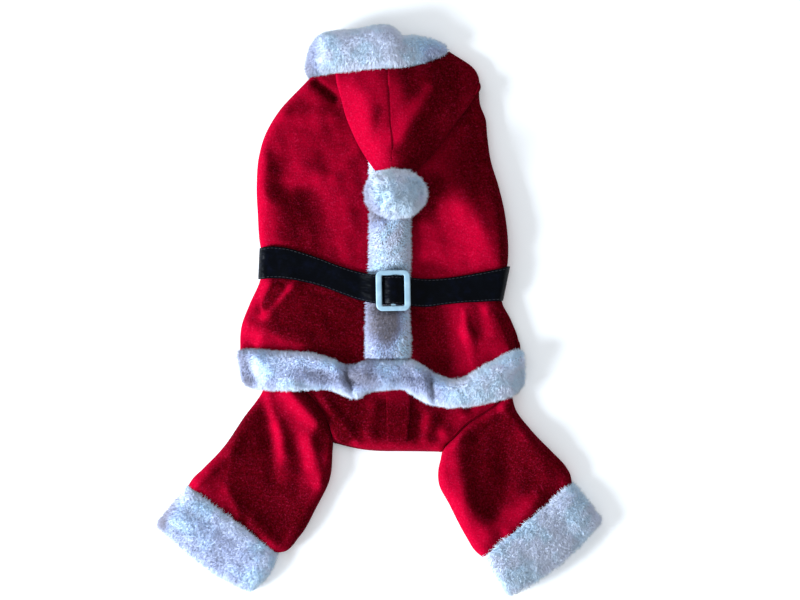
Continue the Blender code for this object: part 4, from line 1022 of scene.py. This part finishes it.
def spread_pile(node, backing, lay, shown, finish):
    """Grows the pile of a backing. The lay is for each point, and what is shown of it for each face."""
    mesh = backing.data
    store(mesh, "lay", "POINT", lay)
    store(mesh, "thickness", "FACE", shown)
    places = points_of(mesh)
    # Painted light and shade for the pile, stored as shade
    shade = FUR_PAINTED_LEVEL + relief(FUR_PAINTED_SHADE, places[:, 0], places[:, 1])
    store(mesh, "shade", "POINT", np.clip(shade, 0, FUR_PAINTED_TOP))
    kind = PILES[node]
    thickness = mesh.attributes["thickness"].data
    area = sum(face.area * thickness[face.index].value for face in mesh.polygons)
    pile = grow(f"{node}_pile", mesh.copy(), pile_tree(), {
        "Strands per m2": kind.strands / area, "Length": kind.length * MM, "Lift": kind.lift,
        "Seed": kind.seed, "Finish": finish, "Strand": strand_shape(),
    })
    pressed = np.empty(len(pile.data.vertices) * 3, np.float32)
    pile.data.vertices.foreach_get("co", pressed)
    pressed[2::3] = np.maximum(pressed[2::3], PRESSED_AT * MM)
    pile.data.vertices.foreach_set("co", pressed)
    pile.data.update()
    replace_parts(backing, node)
    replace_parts(pile, node)


def swirl_of(mesh):
    """How the pile's lay turns from place to place."""
    swirl = np.array([noise.noise_vector(v.co * SWIRL_PACE) for v in mesh.vertices])
    swirl[:, 2] *= SWIRL_UP
    return swirl * SWIRL


def make_trim(node, ground, finish, creases=()):
    """A fur strip: its backing, and its pile that leans outwards at the edges."""
    trim = TRIMS[node]
    upper, lower, across, share = strip_grids(trim, ground, creases, PILES[node].seed)
    lay = np.zeros_like(upper)
    aside = (2 * share - 1)[..., None]
    lay[..., :2] = across * aside * np.abs(aside) * EDGE_LEAN + np.array(trim.lean)
    lay[..., 2] = -EDGE_DROP * np.abs(aside[..., 0]) ** 3
    if facing_down(upper):
        upper, lower, lay = (a.transpose(1, 0, 2) for a in (upper, lower, lay))
    backing, shown = pad(f"{node}_backing", upper, lower, finish)
    lay = np.concatenate([lay.reshape(-1, 3)] * 2) + swirl_of(backing.data)
    spread_pile(node, backing, lay, np.arange(len(backing.data.polygons)) < shown, finish)
    return backing


class Value:
    """A number that changes over a surface. Sums on it add Math nodes."""

    def __init__(self, socket):
        self.socket = socket

    def maths(self, operation, other):
        made = add_node(self.socket.id_data, "ShaderNodeMath", {"operation": operation}, i0=self, i1=other)
        return Value(made.outputs[0])

    def __add__(self, other):
        return self.maths("ADD", other)

    def __sub__(self, other):
        return self.maths("SUBTRACT", other)

    def __mul__(self, other):
        return self.maths("MULTIPLY", other)

    def __pow__(self, other):
        return self.maths("POWER", other)

    def between(self, low, high):
        """0 below low, 1 above high, and smooth between."""
        made = add_node(
            self.socket.id_data, "ShaderNodeMapRange", {"interpolation_type": "SMOOTHSTEP"},
            Value=self, From_Min=low, From_Max=high,
        )
        return Value(made.outputs[0])


class Finish:
    """A material that is put together from nodes."""

    def __init__(self, name, **constants):
        self.material = bpy.data.materials.new(name)
        self.material.use_nodes = True
        self.tree = self.material.node_tree
        self.shader = self.tree.nodes["Principled BSDF"]
        self.wear(**constants)

    def node(self, kind, settings=(), **inputs):
        return add_node(self.tree, kind, settings, **inputs)

    def place(self, size=(1, 1, 1)):
        """Object coordinates, stretched by a size for each direction."""
        where = self.node("ShaderNodeTexCoord").outputs["Object"]
        return self.node("ShaderNodeMapping", Vector=where, Scale=size).outputs[0]

    def lumps(self, where, pace, detail=3.0, roughness=0.55):
        made = self.node("ShaderNodeTexNoise", Vector=where, Scale=pace, Detail=detail, Roughness=roughness)
        return Value(made.outputs["Fac"])

    def stored(self, name):
        """What the surface stores under this name."""
        return Value(self.node("ShaderNodeAttribute", {"attribute_name": name}).outputs["Fac"])

    def blend(self, share, first, second):
        """The first colour where the share is 0, the second where it is 1."""
        first, second = ((*colour, 1) if isinstance(colour, tuple) else colour for colour in (first, second))
        mix = self.node("ShaderNodeMix", {"data_type": "RGBA"}, Factor=share, A=first, B=second)
        return mix.outputs["Result"]

    def bump(self, height, strength, distance, **under):
        made = self.node("ShaderNodeBump", Height=height, Strength=strength, Distance=distance, **under)
        return made.outputs[0]

    def wear(self, **sockets):
        """Sets or links the shader's own sockets."""
        for key, value in sockets.items():
            fill(self.shader.inputs[key.replace("_", " ")], value)
        return self.material


def make_fleece():
    """Red microfleece: a fine nap with paler flecks, and pills that catch the light. Its colour holds the
    painted light and shade stored under nap, and the flecks are painted paler where that light is.
    """
    cloth = Finish(
        "fleece", Roughness=0.9, Sheen_Weight=0.12, Sheen_Roughness=0.4, Sheen_Tint=(1.0, 0.03, 0.12, 1),
        Specular_IOR_Level=0.01,
    )
    where = cloth.place()
    nap = cloth.lumps(where, 620.0, 4.0, 0.7)
    rows = cloth.lumps(cloth.place((0.55, 1.6, 1)), 420.0, 2.0, 0.6)
    flecks = cloth.lumps(where, 800.0, 2.0, 0.75)
    drift = cloth.lumps(where, 26.0, 3.0)
    # Painted light and shade that the pieces store under nap
    painted_light = cloth.stored("nap")
    # Paler flecks, painted stronger where the painted light is
    fleck_and_painted_light = flecks.between(0.50, 0.68) * rows.between(0.36, 0.60) * (painted_light * 0.06 + 0.25)
    fine = nap.between(0.32, 0.68) * 0.24
    # Mostly painted light and shade, with the nap's fine lumps and a slow drift
    nap_and_painted_shade = fine + drift.between(0.3, 0.7) * 0.08 + painted_light.between(-1.0, 1.0) * 0.74 - 0.04
    red = cloth.blend(nap_and_painted_shade**1.25, (0.034, 0.0, 0.0002), (0.44, 0.0003, 0.021))
    red = cloth.blend(fleck_and_painted_light, red, (0.66, 0.022, 0.10))
    pilled = cloth.bump(nap * 0.6 + rows * 0.4, 0.7, 0.0012)
    fibres = cloth.bump(flecks, 0.3, 0.0006, Normal=pilled)
    return cloth.wear(Base_Color=red, Normal=fibres)


def make_fur():
    """White plush, bluish and darker towards its roots as painted shade between the strands, with painted
    light on the tips. Its map holds each strand's tone, which is painted shade with a random share, and the
    place along it.
    """
    plush = Finish(
        "fur", Roughness=0.7, Sheen_Weight=0.22, Sheen_Roughness=0.5, Sheen_Tint=(0.78, 0.86, 1.0, 1),
        Specular_IOR_Level=0.2,
    )
    mapped = plush.node("ShaderNodeUVMap", {"uv_map": "UVMap"}).outputs[0]
    apart = plush.node("ShaderNodeSeparateXYZ", Vector=mapped)
    tone, along = Value(apart.outputs["X"]), Value(apart.outputs["Y"])
    drift = plush.lumps(plush.place(), 45.0, 2.0)
    white = plush.blend(drift.between(0.40, 0.60), (0.74, 0.80, 1.0), (0.57, 0.80, 1.0))
    # Painted shade: the fur turns grey and dull where its tone is low
    low = plush.blend(tone.between(0.1, 0.85), (0.17, 0.145, 0.16), (0.44, 0.53, 0.95))
    colour = plush.blend(tone.between(0.35, 0.85), low, white)
    # Painted light: the palest strands where the tone is highest
    colour = plush.blend(tone.between(0.9, 1.25), colour, (0.95, 0.93, 1.0))
    # Painted light on the tips, darker where the painted shade is
    painted_tip_light = plush.blend(tone.between(0.1, 0.9), (0.34, 0.36, 0.52), (0.88, 0.94, 1.0))
    return plush.wear(Base_Color=plush.blend(along.between(0.2, 1.0) * 0.6, colour, painted_tip_light))


def make_fur_backing():
    """The knitted backing beneath the plush, which shows only between strands and on hidden sides."""
    back = Finish("fur_backing", Roughness=0.85, Sheen_Weight=0.2)
    where = back.place()
    knit = back.lumps(where, 500.0, 3.0)
    drift = back.lumps(where, 60.0, 3.0)
    tone = knit.between(0.3, 0.7) * 0.5 + drift.between(0.3, 0.7) * 0.5
    # Mostly the painted shade stored on the backing, with a little of the knit's own tone
    white = back.blend(tone * 0.2 + back.stored("shade") * 0.8, (0.22, 0.22, 0.30), (0.80, 0.92, 1.0))
    return back.wear(Base_Color=white, Normal=back.bump(knit, 0.6, 0.0012))


def make_patent():
    """Black imitation leather with a glossy coat, faintly wavy and grained."""
    skin = Finish("patent", Coat_Weight=0.03, Coat_Roughness=0.2, Specular_IOR_Level=0.035)
    where = skin.place()
    grain = skin.lumps(where, 900.0, 2.0)
    wave = skin.lumps(skin.place((1, 2.2, 1)), 55.0, 2.0)
    scuff = skin.lumps(where, 160.0, 4.0)
    black = skin.blend(scuff.between(0.45, 0.75), (0.0004, 0.0008, 0.002), (0.001, 0.0018, 0.006))
    fine = skin.bump(grain, 0.12, 0.0004, Normal=skin.bump(wave, 0.5, 0.004))
    return skin.wear(Base_Color=black, Roughness=scuff * 0.2 + 0.3, Normal=fine)


def make_plastic():
    """Pale moulded plastic, a little cloudy, with fine marks from wear."""
    plastic = Finish("plastic", Specular_IOR_Level=0.5, Coat_Weight=0.15, Coat_Roughness=0.25)
    cloud = plastic.lumps(plastic.place(), 120.0, 3.0)
    marks = plastic.lumps(plastic.place((1, 4, 1)), 900.0, 2.0)
    white = plastic.blend(cloud.between(0.35, 0.7), (0.25, 0.40, 0.50), (0.34, 0.50, 0.60))
    rough = marks.between(0.5, 0.75) * 0.14 + 0.3
    return plastic.wear(Base_Color=white, Roughness=rough, Normal=plastic.bump(marks, 0.08, 0.0003))


def make_thread():
    """Black sewing thread, twisted."""
    thread = Finish("thread", Roughness=0.75, Specular_IOR_Level=0.15)
    twist = thread.lumps(thread.place(), 2600.0, 1.0)
    black = thread.blend(twist.between(0.4, 0.7), (0.010, 0.010, 0.014), (0.05, 0.05, 0.06))
    return thread.wear(Base_Color=black, Normal=thread.bump(twist, 0.4, 0.0003))


def make_belt(finish):
    """The belt, as high as the frame's own and down the sides at its ends, and the grid it is made on."""
    rows = np.array(BELT_ROWS)
    run = run_along(middles_of(rows))
    cad = BVHTree.FromObject(frame["nodes"]["belt"], bpy.context.evaluated_depsgraph_get())
    spots = np.linspace(0, run[-1], BELT_SPOTS)
    edges = curve_through(rows[:, :4], run, spots)
    across = np.linspace(0, 1, BELT_ACROSS)[:, None]
    grid = np.zeros((BELT_ACROSS, BELT_SPOTS, 3))
    grid[..., :2] = edges[:, 0:2] + (edges[:, 2:4] - edges[:, 0:2]) * across[..., None]
    for j in range(BELT_ACROSS):
        held = min(max(j, 1), BELT_ACROSS - 2)
        grid[j, :, 2] = [top_of(cad, x, y, np.nan) for x, y in grid[held, :, :2]]
    upper_x = np.interp(spots, run, rows[:, 0])
    given = rows[:, 4] > 0
    ends = np.interp(spots, run[given], rows[given, 4])
    turned = (upper_x < BELT_SIDES[0]) | (upper_x > BELT_SIDES[1])
    grid[..., 2] = np.where(np.isnan(grid[..., 2]) | turned, ends, grid[..., 2])
    for _ in range(3):
        grid[:, 1:-1, 2] = (grid[:, :-2, 2] + 2 * grid[:, 1:-1, 2] + grid[:, 2:, 2]) / 4
    side = np.abs(2 * across - 1)
    grid[..., 2] += 0.25 * waves(grid[..., 0], grid[..., 1], 17, 71) * (1 - side**4) - 0.5 * side**8
    belt = shell("belt_strap", grid, BELT_THICK, finish)
    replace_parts(belt, "belt")
    return belt, grid


def make_stitches(name, line, finish):
    """Stitches along a line of points, each a short bead, by geometry nodes."""
    curve = bpy.data.curves.new(name, "CURVE")
    curve.dimensions = "3D"
    spline = curve.splines.new("POLY")
    spline.points.add(len(line) - 1)
    for point, place in zip(spline.points, line):
        point.co = (*(np.array(place) * MM), 1)
    return grow(name, curve, stitch_tree(), {
        "Pitch": STITCH_PITCH * MM, "Length": STITCH_LONG * MM, "Thread": STITCH_THICK * MM, "Finish": finish,
    })


def stitch_tree():
    """Geometry nodes that set a bead at each pitch of a curve, stretched along it."""
    found = bpy.data.node_groups.get("stitches")
    if found:
        return found
    tree, given, result = new_group("stitches", {
        "Pitch": "Float", "Length": "Float", "Thread": "Float", "Finish": "Material",
    })

    def node(kind, settings=(), **inputs):
        return add_node(tree, kind, settings, **inputs).outputs

    line, pitch = given["Geometry"], given["Pitch"]
    spaced = node("GeometryNodeResampleCurve", {"mode": "LENGTH"}, Curve=line, Length=pitch)
    points = node("GeometryNodeCurveToPoints", {"mode": "EVALUATED"}, Curve=spaced["Curve"])
    bead = node("GeometryNodeMeshUVSphere", Segments=8, Rings=6, Radius=0.5)
    stretch = node("ShaderNodeCombineXYZ", X=given["Thread"], Y=given["Thread"], Z=given["Length"])
    placed = node(
        "GeometryNodeInstanceOnPoints", Points=points["Points"], Rotation=points["Rotation"],
        Instance=bead["Mesh"], Scale=stretch["Vector"],
    )
    real = node("GeometryNodeRealizeInstances", Geometry=placed["Instances"])
    dressed = node("GeometryNodeSetMaterial", Geometry=real["Geometry"], Material=given["Finish"])
    fill(result, dressed["Geometry"])
    return tree


def make_cuff(node, table, folds, knit, fur):
    """A fur ring: its backing with rolled sides and a level sole, and its pile."""
    seed = PILES[node].seed
    rows = smooth_rows(table, CUFF_STEP)[:-1]
    width = width_of(rows)
    share, inset, climb = columns_across(CUFF_COLUMNS, CUFF_ROLLED)
    squeeze = CUFF_TUCK * (1 - 2 * share)
    x, y = place_on_rows(rows, share + (inset + squeeze) / width)
    lumps = 0.25 * waves(x, y, 11, seed) + 0.06 * waves(x, y, 5, seed + 1)
    at_seam = np.exp(-((np.arange(len(rows)) / 1.5) ** 2))[:, None]
    pile = CUFF_PILE * (1 - 0.3 * at_seam)
    height = height_of(rows, share, climb) - pile * climb + (relief(folds, x, y) + lumps) * climb**2
    edge = CUFF_SOLE_IN / width[:, 0]
    sole_x, sole_y = place_on_rows(rows, np.linspace(1 - edge, edge, SOLE_COLUMNS).T)
    sole = np.stack([sole_x, sole_y, np.full_like(sole_x, CUFF_SOLE)], axis=2)
    grid = np.concatenate([np.stack([x, y, np.maximum(height, BACKING_LOW)], axis=2), sole], axis=1)
    backing = shell(f"{node}_backing", grid, CUFF_WALL, knit, closed=True)
    mesh = backing.data
    start = grid[0].mean(axis=0)
    down = grid[-1].mean(axis=0) - start
    down /= np.linalg.norm(down)
    length = (grid[-1].mean(axis=0) - start) @ down
    along = ((points_of(mesh) - start) @ down / length)[:, None]
    lay = down * (0.35 + 0.6 * np.clip(along, 0, 1) ** 2 - 0.8 * np.clip(1 - 6 * along, 0, 1))
    outer = (len(rows) - 1) * grid.shape[1]
    shown = [
        face.index < outer and face.center.z > 1.0 * MM and (face.normal.z > -0.2 or abs(face.normal.z) < 0.8)
        for face in mesh.polygons
    ]
    spread_pile(node, backing, lay + swirl_of(mesh), shown, fur)


def make_pompom(knit, fur):
    """The fur ball: a small stuffed core and long pile all round it."""
    low, high = (np.array(corner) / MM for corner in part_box("pompom"))
    centre = (low + high) / 2
    half = (high - low) / 2 - np.array([POMPOM_PILE, POMPOM_PILE, POMPOM_PILE * 0.8])
    work = bmesh.new()
    bmesh.ops.create_icosphere(work, subdivisions=5, radius=1)
    for vertex in work.verts:
        lump = 1 + 0.07 * noise.noise(vertex.co * 2.3) + 0.03 * noise.noise(vertex.co * 6.0)
        vertex.co = Vector(centre + np.array(vertex.co) * half * lump) * MM
    core = make_piece("pompom_core", mesh_of(work, "pompom_core"), knit)
    lay = []
    for vertex in core.data.vertices:
        swirl = Vector(noise.noise_vector(vertex.co * POMPOM_PACE)) * POMPOM_SWIRL
        upper = vertex.co.z / MM > centre[2]
        lay.append(swirl + Vector((0, -0.2, -0.15 if upper else 0.0)))
    shown = [1.0 if face.normal.z > -0.75 else 0.15 for face in core.data.polygons]
    spread_pile("pompom", core, lay, shown, fur)
    return core


def make_buckle(finish):
    """A flat rounded frame with soft edges, and the bar across its window that the belt runs over."""
    low, high = (np.array(corner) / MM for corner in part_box("buckle"))
    middle_z = (low[2] + high[2]) / 2
    curve = bpy.data.curves.new("buckle_frame", "CURVE")
    curve.dimensions = "2D"
    curve.fill_mode = "BOTH"
    curve.extrude = (BUCKLE_THICK / 2 - BUCKLE_ROUND) * MM
    curve.bevel_depth = BUCKLE_ROUND * MM
    curve.bevel_resolution = 4
    window_wide = BUCKLE_WIDE - 2 * BUCKLE_BAR
    window_tall = BUCKLE_TALL - 2 * BUCKLE_END
    sizes = ((BUCKLE_WIDE, BUCKLE_TALL, BUCKLE_CORNER, -1), (window_wide, window_tall, BUCKLE_CORNER / 2, 1))
    for wide, tall, corner, inward in sizes:
        shift = 2 * inward * BUCKLE_ROUND
        spline = curve.splines.new("POLY")
        points = []
        for quarter in range(4):
            centre_x = ((wide + shift) / 2 - corner) * (1 if quarter in (0, 3) else -1)
            centre_y = ((tall + shift) / 2 - corner) * (1 if quarter in (0, 1) else -1)
            for step in range(9):
                turn = math.radians(90 * quarter + 90 * step / 8)
                points.append((centre_x + corner * math.cos(turn), centre_y + corner * math.sin(turn)))
        spline.points.add(len(points) - 1)
        for point, (x, y) in zip(spline.points, points):
            point.co = (x * MM, y * MM, 0, 1)
        spline.use_cyclic_u = True
    outline = link("buckle_outline", curve)
    bpy.context.view_layer.update()
    work = bmesh.new()
    work.from_mesh(result_of(outline))
    bpy.data.objects.remove(outline)
    bmesh.ops.remove_doubles(work, verts=work.verts, dist=TOUCHING)
    for vertex in bmesh.ops.create_cube(work, size=1)["verts"]:
        vertex.co.x *= CENTRE_BAR * MM
        vertex.co.y *= (window_tall + BUCKLE_END) * MM
        vertex.co.z = (vertex.co.z * CENTRE_BAR_THICK + (CENTRE_BAR_THICK - BUCKLE_THICK) / 2 + BAR_LIFT) * MM
    turn = math.radians(BUCKLE_TURN)
    for vertex in work.verts:
        x, y, z = vertex.co
        vertex.co = Vector((
            BUCKLE_X * MM + x * math.cos(turn) - y * math.sin(turn),
            BUCKLE_Y * MM + x * math.sin(turn) + y * math.cos(turn),
            middle_z * MM + z,
        ))
    buckle = make_piece("buckle_frame", mesh_of(work, "buckle_frame"), finish)
    buckle.data.set_sharp_from_angle(angle=math.radians(50))
    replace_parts(buckle, "buckle")
    return buckle


def make_studio():
    """A pale floor, a soft light from the lower left, light all round, and the camera straight above."""
    bpy.ops.mesh.primitive_plane_add(size=FLOOR_SIZE)
    floor = bpy.context.object
    floor.name = "floor"
    paper = Finish("paper", Roughness=0.9, Emission_Color=(1, 1, 1, 1), Emission_Strength=0.12)
    pale = paper.blend(paper.lumps(paper.place(), 3.0, 2.0), (0.94, 0.94, 0.94), (0.96, 0.96, 0.96))
    floor.data.materials.append(paper.wear(Base_Color=pale))
    for name, place, size, power in LIGHTS:
        lamp = bpy.data.lights.new(name, "AREA")
        lamp.size = size
        lamp.energy = power
        lamp.color = LIGHT_COLOUR
        light = link(name, lamp)
        light.location = place
        light.rotation_euler = (-Vector(place)).to_track_quat("-Z", "Y").to_euler()
    world = bpy.data.worlds.new("room")
    world.use_nodes = True
    room = world.node_tree.nodes["Background"].inputs
    room["Color"].default_value = ROOM_COLOUR
    room["Strength"].default_value = ROOM_LIGHT
    bpy.context.scene.world = world
    bpy.context.scene.view_settings.view_transform = "Standard"
    lens = bpy.data.cameras.new("camera")
    lens.sensor_width = SENSOR
    lens.lens = SENSOR * (CAMERA_HIGH - CAMERA_LEVEL) / PICTURE_WIDE
    camera = link("camera", lens)
    camera.location = (CAMERA_X * MM, CAMERA_Y * MM, CAMERA_HIGH * MM)
    bpy.context.scene.camera = camera


def main():
    """Dresses the part, from the underside up."""
    noise.seed_set(SWIRL_SEED)
    make_studio()
    fleece, fur, knit = make_fleece(), make_fur(), make_fur_backing()
    plain = {}
    for node in ("belly_panel", "leg_left_front", "leg_right_front", "hood_under", "seat_lap"):
        plain[node] = refine(node, fleece)
        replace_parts(plain[node], node)
    plain["throat_panel"] = make_throat(fleece)
    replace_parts(plain["throat_panel"], "throat_panel")
    seat = shell("seat_panel_cloth", panel_grid(SEAT_ROWS, SEAT_STEP, SEAT_FOLDS, 0.35, 11), WALL, fleece)
    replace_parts(seat, "seat_panel")
    legs = make_legs(fleece)
    below = Ground(seat, plain["seat_lap"], *legs, widen=3, soften=2)
    back_grid = panel_grid(BACK_ROWS, STEP, BACK_FOLDS + FINE_FOLDS, 0.4, 21)
    back_grid = hold_sides(back_grid, lay_over(back_grid, below, WALL * 1.2 + GAP))
    back = shell("back_panel_cloth", back_grid, WALL, fleece)
    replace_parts(back, "back_panel")
    placket = make_trim("placket", Ground(back, widen=1, soften=1), fur)
    make_trim("hem_trim", Ground(back, seat, plain["seat_lap"], *legs, widen=2, soften=2), fur, HEM_CREASES)
    make_trim("brim_under", None, fur)
    make_trim("brim_upper", None, fur)
    make_cuff("cuff_left", CUFF_LEFT_ROWS, CUFF_LEFT_FOLDS, knit, fur)
    make_cuff("cuff_right", CUFF_RIGHT_ROWS, CUFF_RIGHT_FOLDS, knit, fur)
    core = make_pompom(knit, fur)
    belt, belt_grid = make_belt(make_patent())
    thread = make_thread()
    for name, share in (("stitches_upper", STITCH_IN), ("stitches_lower", 1 - STITCH_IN)):
        line = belt_grid[int(round(share * (BELT_ACROSS - 1))), STITCH_FREE:-STITCH_FREE]
        make_stitches(name, line + np.array([0, 0, STITCH_LIFT]), thread)
    buckle = make_buckle(make_plastic())
    hood_bed = Ground(back, placket, plain["hood_under"], plain["throat_panel"], widen=1, soften=1)
    for node, table, seed in (("hood_left", HOOD_LEFT_ROWS, 83), ("hood_right", HOOD_RIGHT_ROWS, 89)):
        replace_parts(make_hood_half(f"{node}_cloth", table, hood_bed, fleece, seed), node)
    others = {*frame["nodes"], "floor", "plush_strand"}
    for piece in bpy.data.objects:
        if piece.type == "MESH" and piece.name not in others:
            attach(piece, "root")
            for material, slot in SLOTS.items():
                material in piece.data.materials
    declare_sheets()


def declare_sheets():
    """Looks up each sheet's piece and the pile or stitches that lie on it, and does nothing more with them.
    """
    for sheet in SHEETS:
        piece = bpy.data.objects[sheet.piece]
        pile = bpy.data.objects.get(sheet.piece.replace("_backing", "_pile"))
        on_it = [pile] if pile and pile != piece else []
        if sheet.piece == "belt_strap":
            on_it = [bpy.data.objects["stitches_upper"], bpy.data.objects["stitches_lower"]]


main()
